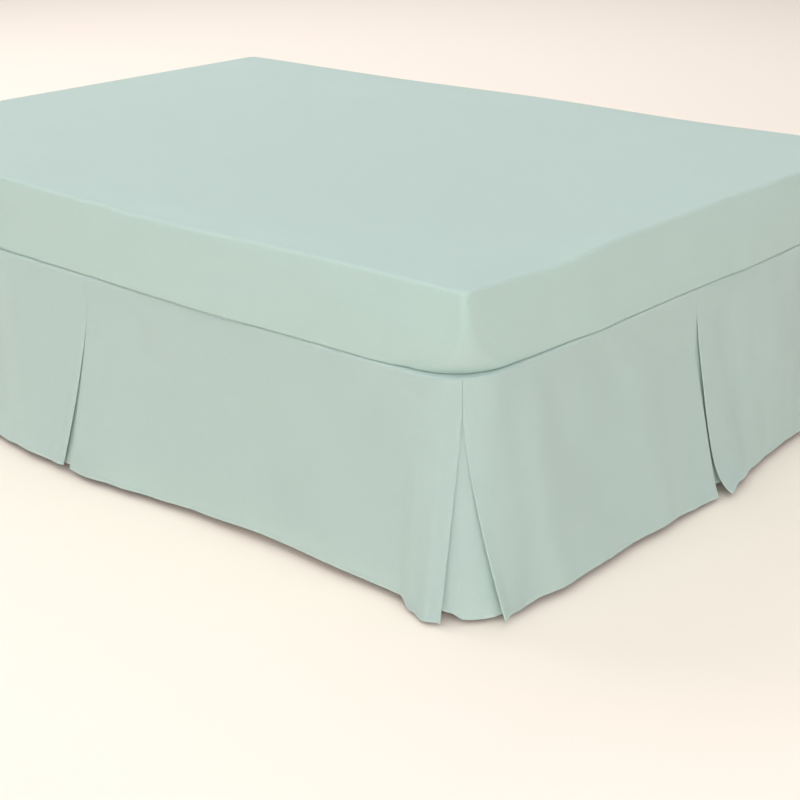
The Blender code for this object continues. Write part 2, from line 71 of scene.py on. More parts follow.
# Cloth
CLOTH = 0.0006
LAYER_STEP = 0.0013
TURN_RADIUS = LAYER_STEP / 2
PLEAT_GAP = 0.00015
SEAM_GAP = 0.0008
FACE_OUT = 0.0050
NEAREST_OUT = -0.0015
SHOULDER_RADIUS = 0.0055
SHOULDER_FLAP = 0.019
PLATFORM_LEVEL = BASE_HIGH.z + 0.00105
SHOULDER_END = PLATFORM_LEVEL - SHOULDER_RADIUS
HEM_HEIGHT = 0.0055
DROP = SHOULDER_END - HEM_HEIGHT
KICK_POWER = 9

# Pleats: the cloth folded back behind each panel edge, at the top and at the hem
RETURN_TOP = 0.090
RETURN_HEM = 0.070
OPENING_FADE = 0.30

# Folds die away towards a panel's edges and its shoulder, creases much nearer to them. The cloth is
# pushed in no further than its room, and a little softly at that limit
EDGE_FADE = 0.06
SHOULDER_FADE = 0.05
CREASE_EDGE_FADE = 0.004
CREASE_SHOULDER_FADE = 0.006
CREASE_DYING = 0.35
LAYERED_OUT = FACE_OUT - 0.002
ROOM_SOFTNESS = 0.001

# Mesh steps, how far to each side a point's slope is measured, and the angles over which an edge is
# shaded sharp, on cloth and on the base and feet
DROP_STEPS = 68
SWING_STEPS = 24
SHOULDER_STEPS = 9
EDGE_COLUMN = 0.0018
RETURN_COLUMNS = 9
TURN_COLUMNS = 6
UNDERLAY_COLUMNS = 48
PLATFORM_CORNER_STEPS = 16
FRAME_REACH = 0.003
CLOTH_EDGE_ANGLE = math.radians(55)
HARD_EDGE_ANGLE = math.radians(35)

# Distances along the base's outline, from the head end of the left side round the foot to the right
QUARTER_TURN = math.pi * CORNER_RADIUS / 2
LEFT_MID = BED_LENGTH / 2
LEFT_CORNER = BED_LENGTH - CORNER_RADIUS + QUARTER_TURN / 2
FOOT_MID = BED_LENGTH - CORNER_RADIUS + QUARTER_TURN + HALF_WIDTH - CORNER_RADIUS
RIGHT_CORNER = 2 * FOOT_MID - LEFT_CORNER
RIGHT_MID = 2 * FOOT_MID - LEFT_MID
OUTLINE_END = 2 * FOOT_MID

# Pleats: place on the outline, then how the edge of the panel before it and that of the panel after
# it swing open: how far below the shoulder the edge hangs straight, the power by which its swing
# grows from there to the hem, and the share of the swing that it only makes as a kick near the hem
PLEATS = {
    "left_mid": (LEFT_MID, (0.062, 1.20, 0.0), (0.062, 1.15, 0.0)),
    "left_corner": (LEFT_CORNER, (0.068, 1.00, 0.0), (0.070, 1.30, 0.0)),
    "foot_mid": (FOOT_MID, (0.123, 0.95, 0.08), (0.046, 1.13, 0.32)),
    "right_corner": (RIGHT_CORNER, (0.075, 1.15, 0.0), (0.080, 1.10, 0.1)),
    "right_mid": (RIGHT_MID, (0.060, 1.10, 0.2), (0.065, 1.15, 0.1)),
}
PLAIN_SWING = (0.0, 1.1, 0.0)

# Panels: side, pleat at the first edge, pleat at the last edge (None at the open head end), and the
# hem: place along the side (Y on the sides, X at the foot), reach out of the side's plane, and how
# much shorter the cloth hangs there
PANELS = {
    "left_head": ("left", None, "left_mid", (
        (0.948, 0.012, 0.000), (0.800, 0.010, 0.004), (0.620, 0.024, 0.002),
        (0.470, 0.012, 0.006), (0.360, 0.016, 0.006), (0.270, 0.027, 0.005),
        (0.185, 0.038, 0.0045), (0.130, 0.035, 0.0025), (0.095, 0.040, 0.003),
        (0.077, 0.041, 0.005),
    )),
    "left_foot": ("left", "left_mid", "left_corner", (
        (0.062, 0.036, 0.002), (0.020, 0.040, 0.002), (-0.080, 0.032, 0.005),
        (-0.180, 0.018, 0.007), (-0.300, 0.008, 0.010), (-0.450, 0.003, 0.015),
        (-0.640, 0.003, 0.0135), (-0.770, 0.004, 0.011), (-0.812, 0.007, 0.0125),
        (-0.854, 0.027, 0.004), (-0.893, 0.0385, 0.000), (-0.920, 0.028, 0.000),
    )),
    "foot_left": ("foot", "left_corner", "foot_mid", (
        (-0.634, 0.055, 0.001), (-0.608, 0.050, 0.005), (-0.530, 0.047, 0.007),
        (-0.430, 0.056, 0.006), (-0.340, 0.056, 0.007), (-0.220, 0.051, 0.007),
        (-0.120, 0.052, 0.006), (-0.040, 0.057, 0.001), (0.027, 0.060, -0.002),
    )),
    "foot_right": ("foot", "foot_mid", "right_corner", (
        (0.053, 0.074, -0.006), (0.100, 0.064, 0.005), (0.180, 0.048, 0.008),
        (0.270, 0.032, 0.009), (0.360, 0.020, 0.011), (0.450, 0.018, 0.011),
        (0.540, 0.030, 0.007), (0.600, 0.046, 0.002), (0.636, 0.050, 0.000),
    )),
    "right_foot": ("right", "right_corner", "right_mid", (
        (-0.918, 0.036, 0.000), (-0.870, 0.040, 0.002), (-0.790, 0.024, 0.006),
        (-0.660, 0.008, 0.010), (-0.500, 0.002, 0.012), (-0.340, 0.010, 0.009),
        (-0.200, 0.016, 0.006), (-0.100, 0.030, 0.002), (-0.036, 0.041, 0.000),
    )),
    "right_head": ("right", "right_mid", None, (
        (0.030, 0.041, 0.001), (0.090, 0.031, 0.003), (0.200, 0.020, 0.007),
        (0.340, 0.026, 0.006), (0.500, 0.010, 0.009), (0.640, 0.006, 0.008),
        (0.800, 0.018, 0.004), (0.948, 0.010, 0.000),
    )),
}

# Soft folds of each panel: metres across and down at the fold's two ends, its half-width, and its
# depth, which is negative for a trough
FOLDS = {
    "left_head": (
        (0.62, 0.04, 0.70, 0.34, 0.050, -0.0048), (0.70, 0.06, 0.78, 0.32, 0.040, 0.0042),
        (0.32, 0.08, 0.40, 0.36, 0.070, 0.0048),
    ),
    "left_foot": (
        (0.14, 0.03, 0.28, 0.23, 0.050, -0.0054), (0.24, 0.04, 0.42, 0.30, 0.070, 0.0054),
        (0.42, 0.10, 0.56, 0.34, 0.060, -0.0036), (0.56, 0.12, 0.68, 0.38, 0.060, 0.0036),
        (0.60, 0.05, 0.74, 0.24, 0.050, -0.0042), (0.74, 0.03, 0.80, 0.12, 0.040, 0.0030),
    ),
    "foot_left": (
        (0.14, 0.05, 0.15, 0.40, 0.040, 0.008), (0.22, 0.14, 0.31, 0.30, 0.050, -0.007),
        (0.34, 0.04, 0.42, 0.18, 0.050, -0.006), (0.44, 0.18, 0.46, 0.38, 0.060, 0.009),
    ),
    "foot_right": (
        (0.10, 0.10, 0.16, 0.38, 0.045, -0.007), (0.26, 0.06, 0.34, 0.34, 0.070, 0.009),
        (0.44, 0.06, 0.42, 0.30, 0.060, -0.006),
    ),
    "right_foot": (
        (0.24, 0.05, 0.34, 0.28, 0.060, -0.009), (0.36, 0.06, 0.46, 0.34, 0.070, 0.009),
        (0.62, 0.08, 0.56, 0.34, 0.070, -0.007), (0.70, 0.06, 0.66, 0.34, 0.060, 0.007),
    ),
    "right_head": (
        (0.22, 0.05, 0.30, 0.32, 0.060, -0.008), (0.38, 0.06, 0.46, 0.34, 0.070, 0.009),
        (0.62, 0.10, 0.70, 0.36, 0.070, -0.006),
    ),
}

# Creases, narrower and crisper than the folds: the same columns
CREASES = {
    "left_head": ((0.880, 0.110, 0.944, 0.078, 0.006, 0.0016),),
    "left_foot": (
        (0.055, 0.115, 0.000, 0.076, 0.006, 0.0016), (0.850, 0.100, 0.924, 0.082, 0.005, 0.0018),
        (0.870, 0.070, 0.924, 0.078, 0.004, 0.0012), (0.892, 0.112, 0.925, 0.088, 0.003, 0.0010),
        (0.800, 0.012, 0.865, 0.036, 0.006, -0.0018), (0.842, 0.030, 0.890, 0.046, 0.005, -0.0014),
    ),
    "foot_left": (
        (0.002, 0.082, 0.062, 0.108, 0.005, 0.0018), (0.002, 0.080, 0.048, 0.070, 0.004, 0.0014),
        (0.002, 0.086, 0.030, 0.122, 0.004, 0.0012), (0.018, 0.004, 0.026, 0.060, 0.004, -0.0010),
        (0.640, 0.052, 0.690, 0.070, 0.005, 0.0014), (0.652, 0.070, 0.650, 0.300, 0.012, 0.0026),
    ),
    "foot_right": (
        (0.000, 0.052, 0.060, 0.080, 0.006, 0.0016), (0.600, 0.105, 0.648, 0.082, 0.005, 0.0016),
    ),
    "right_foot": (
        (0.002, 0.082, 0.070, 0.112, 0.005, 0.0018), (0.002, 0.080, 0.050, 0.064, 0.004, 0.0012),
        (0.860, 0.095, 0.920, 0.068, 0.006, 0.0014),
    ),
    "right_head": ((0.000, 0.068, 0.060, 0.094, 0.006, 0.0014),),
}

# Puckers beside the stitching that closes each pleat, by panel: whether they are at its last edge,
# their depth and their pitch
PUCKERS = {
    "left_head": ((True, 0.0003, 0.0060),),
    "left_foot": ((False, 0.0003, 0.0060), (True, 0.0004, 0.0060)),
    "foot_left": ((False, 0.0009, 0.0058), (True, 0.0003, 0.0060)),
    "foot_right": ((False, 0.0003, 0.0060), (True, 0.0005, 0.0060)),
    "right_foot": ((False, 0.0007, 0.0060), (True, 0.0003, 0.0060)),
    "right_head": ((False, 0.0003, 0.0060),),
}
PUCKER_REACH = 0.010
PUCKER_CLEAR = 0.0015
PUCKER_FADE = 0.015
PUCKERS_PAST_CLOSED = 0.012
PUCKER_WANDER = (90, 150, 210)

# Underlays: how far the hem hangs from the base's outline, and how much shorter the cloth hangs, by
# the fraction across between the two inner folds
UNDERLAYS = {
    "left_mid": (
        (0.0, 0.030, 0.000), (0.3, 0.028, 0.004), (0.5, 0.029, 0.005), (0.7, 0.028, 0.004),
        (1.0, 0.026, 0.000),
    ),
    "left_corner": (
        (0.0, 0.026, 0.000), (0.28, 0.026, 0.011), (0.38, 0.028, 0.008), (0.50, 0.032, -0.003),
        (0.60, 0.034, -0.004), (0.8, 0.040, -0.003), (1.0, 0.050, 0.000),
    ),
    "foot_mid": (
        (0.0, 0.047, 0.000), (0.3, 0.041, 0.007), (0.5, 0.039, 0.010), (0.7, 0.041, 0.007),
        (1.0, 0.048, 0.000),
    ),
    "right_corner": (
        (0.0, 0.044, 0.000), (0.25, 0.034, 0.004), (0.45, 0.032, 0.002), (0.6, 0.030, 0.002),
        (0.8, 0.026, 0.006), (1.0, 0.028, 0.000),
    ),
    "right_mid": (
        (0.0, 0.028, 0.000), (0.3, 0.023, 0.004), (0.5, 0.022, 0.006), (0.7, 0.023, 0.004),
        (1.0, 0.028, 0.000),
    ),
}

# Waves of random direction: how much the shorter ones prevail and the height of their sum, then for
# each use the seed, to which a panel or underlay adds its number, the count, and the lengths
SHORT_WAVES = 1.5
WAVE_HEIGHT = 1.2
RUMPLE_WAVES = (20, 16, (0.05, 0.26))
RUMPLE_UPRIGHT = 0.35
RUMPLE_AT_EDGE = 0.35
HEM_WAVES = (70, 10, (0.012, 0.045))
HEM_WAVES_UPRIGHT = 0.9
HEM_WAVES_SQUEEZE = 0.2
HEM_WAVE_DEPTH = 0.00022
HEM_WAVE_RISE = 0.014
UNDERLAY_WAVES = (90, 10, (0.03, 0.14))
UNDERLAY_WAVES_UPRIGHT = 0.6
UNDERLAY_WAVE_DEPTH = 0.0006

# Hem: its turned-up thickness, the groove and row of its stitching, and its mesh rows' heights
HEM_STEP = 0.0004
HEM_STEP_FADE = 0.0012
HEM_GROOVE = 0.0003
HEM_GROOVE_WIDTH = 0.0007
STITCHES_BELOW_TOP = 0.0010
STITCH_HALF_WIDTH = 0.00045
STITCH_GAP_SHARE = 0.22
HEM_ROWS = (
    0.0125, 0.0110, 0.0100, 0.0094, 0.0088, 0.0084, 0.0080, 0.0076, 0.0070, 0.0055, 0.0030, 0.0010,
)
HEM_ROWS_CLEAR = 0.002

# Mattress: its corners are drawn in by the fitted sheet's elastic at the bottom
MATTRESS_LEVEL = PLATFORM_LEVEL + CLOTH / 2 + 0.0006
MATTRESS_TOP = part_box("mattress")[1][2]
MATTRESS_UPPER_RADIUS = 0.0045
MATTRESS_UNDER_RADIUS = 0.0028
MATTRESS_UPPER_CORNER = 0.020
MATTRESS_UNDER_CORNER = 0.12
MATTRESS_CROWN = 0.003
MATTRESS_CROWN_REACH = 0.30
MATTRESS_WALL_SWELL = 0.002
MATTRESS_GRID = 0.0085
MATTRESS_EDGE_STEPS = 52
MATTRESS_WALL_WAVES = (8, 18, (0.05, 0.30))
MATTRESS_WALL_WAVES_UPRIGHT = 0.2
MATTRESS_WALL_WAVE_DEPTH = 0.0006
MATTRESS_TOP_WAVES = (7, 14, (0.10, 0.45))
MATTRESS_TOP_WAVE_DEPTH = 0.0007
MATTRESS_MOST_RISE = 0.003
MATTRESS_RISE_FADE = 0.06
MATTRESS_DRAWN_IN_POWER = 3

# Metres before the edge of the mattress's top at which the wall's reach and its hollows set in and
# the top's rise dies away, and the lengths over which they do so
WALL_REACH_START, WALL_REACH_FADE = 0.015, 0.025
WALL_HOLLOWS_START, WALL_HOLLOWS_FADE = 0.005, 0.030
TOP_RISE_END, TOP_RISE_FADE = 0.020, 0.050

# Places round the mattress are metres from the head end's left corner, along the left side, 1.9 at
# the foot end's left corner, 3.25 at its right corner and 5.15 at the head end's right corner

# How far the wall stands out past the base's outline, by place, at the lower edge; the upper edge
# takes only a share of it
WALL_REACH = (
    (0.00, 0.002), (0.60, -0.002), (0.72, 0.0005), (0.81, 0.003), (0.95, 0.004), (1.09, 0.008),
    (1.22, 0.0115), (1.31, 0.013), (1.40, 0.012), (1.51, 0.0073), (1.62, 0.007), (1.68, 0.0057),
    (1.78, 0.0058), (1.83, 0.002), (1.88, -0.005), (1.90, -0.0025), (1.92, -0.004), (2.00, -0.001),
    (2.10, 0.0024), (2.15, 0.0055), (2.21, 0.0077), (2.31, 0.0058), (2.42, 0.005), (2.54, 0.0045),
    (2.67, 0.0065), (2.78, 0.0108), (2.93, 0.0066), (3.02, 0.005), (3.25, -0.002), (3.60, 0.005),
    (4.20, 0.009), (4.70, 0.004), (5.15, 0.004), (5.50, 0.006), (6.20, 0.006), (6.50, 0.002),
)
UPPER_REACH_SHARE = 0.6

# How far the upper edge sags, by place, then how far in over the top the sag reaches, in metres,
# and how far down, as a share of the wall
EDGE_SAG = (
    (0.00, 0.001), (0.70, 0.000), (0.86, 0.003), (0.97, 0.006), (1.02, 0.005), (1.10, 0.009),
    (1.16, 0.007), (1.30, 0.005), (1.45, 0.003), (1.70, 0.001), (1.83, 0.003), (1.87, 0.0048),
    (1.93, 0.0048), (1.97, 0.006), (2.04, 0.008), (2.11, 0.0105), (2.165, 0.0105), (2.225, 0.0065),
    (2.30, 0.0015), (2.40, 0.002), (2.52, 0.002), (2.66, 0.000), (3.20, 0.002), (3.30, 0.002),
    (3.70, 0.006), (4.10, 0.002), (4.60, 0.005), (5.15, 0.002), (6.50, 0.001),
)
EDGE_SAG_REACH = 0.09
EDGE_SAG_DOWN = 0.6

# Soft hollows and rises of the mattress top: X, Y at the two ends, half-width, depth
TOP_FOLDS = (
    (-0.153, -0.605, 0.357, -0.541, 0.110, -0.0035),
    (-0.564, -0.444, -0.401, -0.897, 0.120, 0.0030),
    (-0.30, 0.10, 0.20, 0.30, 0.200, 0.0030),
    (-0.05, -0.85, 0.45, -0.80, 0.070, 0.0020),
    (0.35, 0.45, 0.50, -0.20, 0.120, -0.0030),
    (-0.50, 0.65, -0.10, 0.80, 0.130, -0.0030),
)

# Hollows and rises of the mattress walls: place round the mattress and height above its bottom at
# the two ends, half-width, depth
WALL_FOLDS = (
    (1.10, 0.05, 1.45, 0.09, 0.035, -0.0020),
    (1.55, 0.10, 1.80, 0.06, 0.030, 0.0018),
    (0.55, 0.08, 0.85, 0.05, 0.035, -0.0018),
    (2.10, 0.06, 2.45, 0.09, 0.040, -0.0022),
    (2.55, 0.10, 2.95, 0.06, 0.035, 0.0018),
    (3.50, 0.06, 3.95, 0.09, 0.040, -0.0020),
    (4.20, 0.09, 4.60, 0.06, 0.035, 0.0018),
)

# Puckers where the sheet's corner seam ends: quarter turns round the corner, metres over the edge
# from the top, half-width in quarter turns, half-length, depth
CORNER_PUCKERS = (
    (0.84, 0.020, 0.10, 0.0042, -0.0024),
    (0.96, 0.012, 0.07, 0.0040, 0.0010),
    (0.60, 0.021, 0.08, 0.0035, 0.0009),
)

# Base and feet: what their edges are rounded by and the mesh steps of that, how near to a face an
# edge lies that counts as in it, and the step of the cover's diagonal ribs along each axis
BASE_CORNER_ROUND = (CORNER_RADIUS - BASE_INSET, 20)
BASE_TOP_ROUND = (0.015, 6)
BASE_BOTTOM_ROUND = (0.005, 3)
BASE_HEAD_ROUND = (0.006, 4)
FEET = 6
FOOT_ROUND = (0.003, 4)
NEAR = 0.001
RIB_STEP = 0.0052

# Lights: name, kind, place, aim, size (metres, or degrees for the broad daylight), power
LIGHTS = (
    ("front_fill", "AREA", (-5.5, -5.5, 2.8), (0.0, 0.0, 0.3), 4.0, 165.0),
    ("low_left_panel", "AREA", (-6.0, -4.0, 1.5), (0.0, 0.0, 0.3), 3.0, 35.0),
    ("front_left_panel", "AREA", (-4.0, -6.0, 4.5), (0.0, 0.0, 0.3), 5.0, 152.0),
    ("overhead_panel", "AREA", (0.0, 0.0, 7.5), (0.0, 0.0, 0.0), 14.0, 400.0),
    ("back_panel", "AREA", (-1.0, 6.0, 5.0), (0.0, 0.0, 0.3), 5.0, 160.0),
    ("far_floor_panel", "AREA", (4.5, 4.5, 5.5), (4.5, 4.5, 0.0), 6.0, 128.0),
    ("left_daylight", "SUN", (-7.0, -3.0, 6.0), (0.0, 0.0, 0.0), 70.0, 1.06),
)

WORLD_STRENGTH = 0.12

# Floor and camera
FLOOR_SIZE = 16.0
CAMERA_PLACE = (-2.491, -2.447, 1.3205)
CAMERA_YAW = 48.02
CAMERA_PITCH = 21.21
CAMERA_ROLL = -0.73
CAMERA_LENS = 72.225
SENSOR_WIDTH = 36.0


def linear(code):
    """An sRGB hex colour as linear red, green and blue."""
    channels = [int(code[i:i + 2], 16) / 255 for i in (1, 3, 5)]
    return tuple(c / 12.92 if c <= 0.04045 else ((c + 0.055) / 1.055) ** 2.4 for c in channels)


def length_property(name, description, default):
    return bpy.props.FloatProperty(
        name=name, description=description, default=default, min=0.0, unit="LENGTH", precision=5
    )


def colour_property(name, description, code):
    return bpy.props.FloatVectorProperty(
        name=name, description=description, default=linear(code), subtype="COLOR", min=0.0, max=1.0
    )


class BedSkirtSizes(bpy.types.PropertyGroup):
    """Sizes that a maker would change."""

    cloth: length_property("Cloth thickness", "Thickness of the cotton", CLOTH)
    face_step: length_property("Mesh step", "Width of the cloth's mesh steps", 0.0055)
    hem_depth: length_property("Hem depth", "Height of the turned-up hem", 0.0090)
    rumple: length_property("Rumple", "Height of the soft rumple in the hanging cloth", 0.0008)
    thread: length_property("Thread spacing", "Spacing of the threads as drawn", 0.0011)
    stitch: length_property("Stitch length", "Length of the hem's stitches", 0.0030)


class BedSkirtColours(bpy.types.PropertyGroup):
    """Colours that a maker would change."""

    skirt: colour_property("Skirt cotton", "Colour of the skirt's cotton", "#B0C8BE")
    fitted: colour_property("Fitted sheet", "Colour of the fitted sheet's cotton", "#ACC0B9")
    ticking: colour_property("Base ticking", "Colour of the base's woven cover", "#D9D5CA")
    beech: colour_property("Beech", "Colour of the feet", "#C9A476")
    floor: colour_property("Floor", "Colour of the plain floor", "#FAEEE3")


def lerp(a, b, f):
    return a + (b - a) * f


def smooth(f):
    f = np.clip(f, 0.0, 1.0)
    return f * f * (3 - 2 * f)


def unit(vectors):
    return vectors / np.maximum(np.linalg.norm(vectors, axis=-1, keepdims=True), 1e-12)


def table_value(rows, place, column=1):
    """Value at each place in rows that start with their place, eased from row to row."""
    rows = np.array(sorted(rows))
    after = np.clip(np.searchsorted(rows[:, 0], place), 1, len(rows) - 1)
    before = after - 1
    f = smooth((place - rows[before, 0]) / (rows[after, 0] - rows[before, 0]))
    return lerp(rows[before, column], rows[after, column], f)


def near_line(across, down, row):
    """Distance of each place from the line between a row's two ends."""
    start = np.array(row[0:2])
    run = np.array(row[2:4]) - start
    reach_across = across - start[0]
    reach_down = down - start[1]
    f = np.clip((reach_across * run[0] + reach_down * run[1]) / (run @ run), 0.0, 1.0)
    return np.hypot(reach_across - f * run[0], reach_down - f * run[1]), f


def soft_folds(rows, across, down):
    """Rounded folds and hollows, added up."""
    push = 0.0
    for row in rows:
        distance, _ = near_line(across, down, row)
        push = push + row[5] * np.exp(-((distance / row[4]) ** 2))
    return push


def crisp_folds(rows, across, down):
    """Narrow creases that die away to their second end, added up."""
    push = 0.0
    for row in rows:
        distance, f = near_line(across, down, row)
        push = push + row[5] / np.cosh(distance / row[4]) * (1 - CREASE_DYING * f)
    return push


def random_waves(waves, number, across, down, upright=0.0):
    """Sum of random waves, about 1 high; upright, up to 1, turns their crests down the drop."""
    seed, count, lengths = waves
    draw = np.random.default_rng(seed + number)
    total = 0.0
    for _ in range(count):
        length = lerp(lengths[0], lengths[1], draw.random() ** SHORT_WAVES)
        angle = draw.uniform(-0.5, 0.5) * math.pi * (1 - upright)
        phase = draw.uniform(0, 2 * math.pi)
        height = length / lengths[1]
        turn = 2 * math.pi / length
        along = across * math.cos(angle) + down * math.sin(angle)
        total = total + height * np.sin(turn * along + phase)
    return total / math.sqrt(count / 2) * WAVE_HEIGHT


def opening(t, closed, power, kick):
    """Share of the swing reached at t down the drop, which starts below the closed share."""
    past = np.maximum((t - closed) / (1 - closed), 0.0)
    return lerp(past ** power, past ** KICK_POWER, kick)


def outline_point(distance, out):
    """Plan point at a distance along the base's outline, moved out from it."""
    distance, out = np.broadcast_arrays(distance, out)
    side = BED_LENGTH - CORNER_RADIUS
    half_foot = HALF_WIDTH - CORNER_RADIUS
    mirrored = distance > FOOT_MID
    run = np.where(mirrored, OUTLINE_END - distance, distance)
    angle = np.clip((run - side) / CORNER_RADIUS, 0.0, math.pi / 2)
    past = np.maximum(run - side - QUARTER_TURN, 0.0)
    x = -half_foot - (CORNER_RADIUS + out) * np.cos(angle) + past
    y = CORNER_RADIUS - HALF_LENGTH - (CORNER_RADIUS + out) * np.sin(angle)
    y = y + np.maximum(side - run, 0.0)
    return np.stack([np.where(mirrored, -x, x), y + BED_CENTRE_Y, np.zeros_like(x)], axis=-1)


def side_point(side, along, out):
    """Plan point beside one side of the bed, out of that side's plane."""
    along, out = np.broadcast_arrays(along, out)
    if side == "foot":
        x, y = along, -HALF_LENGTH - out
    else:
        x = (HALF_WIDTH + out) * (-1 if side == "left" else 1)
        y = along
    return np.stack([x, y + BED_CENTRE_Y, np.zeros_like(x)], axis=-1)


def return_width(t):
    return lerp(RETURN_TOP, RETURN_HEM, t)


class Panel:
    """One flat-cut panel of the skirt, hung between two pleats."""

    def __init__(self, name, rumple):
        self.name = name
        self.side, first, last, self.hem = PANELS[name]
        clear = TURN_RADIUS + (CLOTH + PLEAT_GAP) / 2
        self.first_pleat = first
        self.last_pleat = last
        self.start = PLEATS[first][0] + clear if first else CLOTH
        self.end = PLEATS[last][0] - clear if last else OUTLINE_END - CLOTH
        self.length = self.end - self.start
        self.first_swing = np.array(PLEATS[first][2] if first else PLAIN_SWING)
        self.last_swing = np.array(PLEATS[last][1] if last else PLAIN_SWING)
        self.folds = FOLDS[name]
        self.creases = CREASES[name]
        self.puckers = PUCKERS[name]
        self.number = list(PANELS).index(name)
        self.rumple = rumple

    def opened(self, across, t):
        """How far a column has swung from the shoulder's line, 0, to the hem's, 1, at t down it."""
        near_first = smooth(1 - across / OPENING_FADE)
        near_last = smooth(1 - (self.length - across) / OPENING_FADE)
        closed, power, kick = (
            plain + (first - plain) * near_first + (last - plain) * near_last
            for plain, first, last in zip(PLAIN_SWING, self.first_swing, self.last_swing)
        )
        return opening(t, closed / DROP, power, kick)

    def along(self, across):
        """Place of a column's hem along the side."""
        return lerp(self.hem[0][0], self.hem[-1][0], across / self.length)

    def room(self, across, opened):
        """How far the cloth can be pushed in, past the layers folded behind it, before the base."""
        reach = lerp(FACE_OUT, table_value(self.hem, self.along(across)), opened)
        far = np.full_like(across, self.length)
        past_first = across - RETURN_TOP if self.first_pleat else far
        past_last = self.length - across - RETURN_TOP if self.last_pleat else far
        single = smooth((np.minimum(past_first, past_last) - EDGE_FADE / 2) / RETURN_TOP)
        return np.maximum(reach - lerp(LAYERED_OUT, NEAREST_OUT, single), 0.0)

    def stitched(self, across, down):
        """Puckers beside the closed part of each pleat."""
        push = 0.0
        for last, depth, pitch in self.puckers:
            aside = self.length - across if last else across
            closed = (self.last_swing if last else self.first_swing)[0]
            draw = np.random.default_rng((RUMPLE_WAVES[0] + self.number) * 2 + last)
            phase = 2 * math.pi * down / pitch
            for share, turns in zip(draw.uniform(-1, 1, len(PUCKER_WANDER)), PUCKER_WANDER):
                phase = phase + share * np.sin(down * turns)
            held = smooth((closed + PUCKERS_PAST_CLOSED - down) / PUCKER_FADE)
            held = held * smooth(down / PUCKER_REACH)
            near = np.exp(-aside / PUCKER_REACH) * smooth(aside / PUCKER_CLEAR)
            push = push + depth * np.sin(phase) * held * near
        return push

    def fold(self, across, down, room):
        """Outward push of folds, creases and rumple, and inward no further than the room."""
        edge = np.minimum(across, self.length - across)
        settled = smooth(down / SHOULDER_FADE)
        push = soft_folds(self.folds, across, down) * smooth(edge / EDGE_FADE) * settled
        waves = random_waves(RUMPLE_WAVES, self.number, across, down, RUMPLE_UPRIGHT)
        loose = RUMPLE_AT_EDGE + (1 - RUMPLE_AT_EDGE) * smooth(edge / EDGE_FADE)
        push = push + self.rumple * waves * settled * loose
        creases = crisp_folds(self.creases, across, down) * smooth(edge / CREASE_EDGE_FADE)
        push = push + creases * smooth(down / CREASE_SHOULDER_FADE)
        push = push + self.stitched(across, down)
        return (push - room + np.hypot(push + room, ROOM_SOFTNESS)) / 2

    def hem_shape(self, across, above):
        """Outward push of the turned-up hem, its stitching and its small waves."""
        height = above * HEM_WAVES_SQUEEZE
        waves = random_waves(HEM_WAVES, self.number, across, height, HEM_WAVES_UPRIGHT)
        push = HEM_WAVE_DEPTH * waves * np.exp(-((above / HEM_WAVE_RISE) ** 2))
        return push + hem_profile(above)

    def point(self, across, t):
        """Middle of the cloth, metres across from the first edge and t down the drop."""
        across, t = np.broadcast_arrays(np.asarray(across, float), np.asarray(t, float))
        along = self.along(across)
        top = outline_point(self.start + across, FACE_OUT)
        hem = side_point(self.side, along, table_value(self.hem, along))
        length = DROP - table_value(self.hem, along, 2)
        swing = np.linalg.norm(hem - top, axis=-1) / length
        shares = np.linspace(0, 1, SWING_STEPS + 1)
        swung = self.opened(across[..., None], t[..., None] * shares)
        step = t / SWING_STEPS
        moved = swing[..., None] * np.diff(swung, axis=-1)
        fallen = np.sqrt(np.maximum(step[..., None] ** 2 - moved ** 2, 0.0)).sum(axis=-1)
        opened = swung[..., -1]
        place = lerp(top, hem, opened[..., None])
        push = self.fold(across, t * DROP, self.room(across, opened))
        push = push + self.hem_shape(across, (1 - t) * DROP)
        outward = outline_point(self.start + across, 1.0) - outline_point(self.start + across, 0.0)
        sideways = side_point(self.side, 0.0, 1.0) - side_point(self.side, 0.0, 0.0)
        place = place + unit(lerp(outward, sideways, opened[..., None])) * push[..., None]
        place[..., 2] = SHOULDER_END - length * fallen
        return place

    def frame(self, across, t):
        """Point, tangent across and outward normal of the cloth."""
        across, t = np.broadcast_arrays(np.asarray(across, float), np.asarray(t, float))
        back = np.maximum(across - FRAME_REACH, 0.0)
        ahead = np.minimum(across + FRAME_REACH, self.length)
        tangent = unit(self.point(ahead, t) - self.point(back, t))
        upper = np.maximum(t - FRAME_REACH / DROP, 0.0)
        lower = np.minimum(t + FRAME_REACH / DROP, 1.0)
        down = unit(self.point(across, lower) - self.point(across, upper))
        return self.point(across, t), tangent, unit(np.cross(down, tangent))

    def fold_back(self, last, t):
        """A folded-back edge, from its seam under the panel round to the fold, as columns."""
        edge = self.length if last else 0.0
        inward = -1 if last else 1
        columns = []
        width = return_width(t) - SEAM_GAP / 2
        for i in range(RETURN_COLUMNS):
            place, _, normal = self.frame(edge + inward * width * (1 - i / RETURN_COLUMNS), t)
            columns.append(place - normal * LAYER_STEP)
        place, tangent, normal = self.frame(np.full_like(t, edge), t)
        for i in range(TURN_COLUMNS):
            angle = math.pi * (1 - i / TURN_COLUMNS)
            aside = tangent * (-inward * TURN_RADIUS * math.sin(angle))
            columns.append(place + aside - normal * TURN_RADIUS * (1 - math.cos(angle)))
        return np.stack(columns, axis=1)

    def fold_back_across(self, last):
        """Cloth lengths of the folded-back columns, measured out from the edge."""
        back = [RETURN_TOP * (1 - i / RETURN_COLUMNS) for i in range(RETURN_COLUMNS)]
        turn = math.pi * TURN_RADIUS
        lengths = [turn + reach for reach in back]
        lengths += [turn * (1 - i / TURN_COLUMNS) for i in range(TURN_COLUMNS)]
        return np.array(lengths)

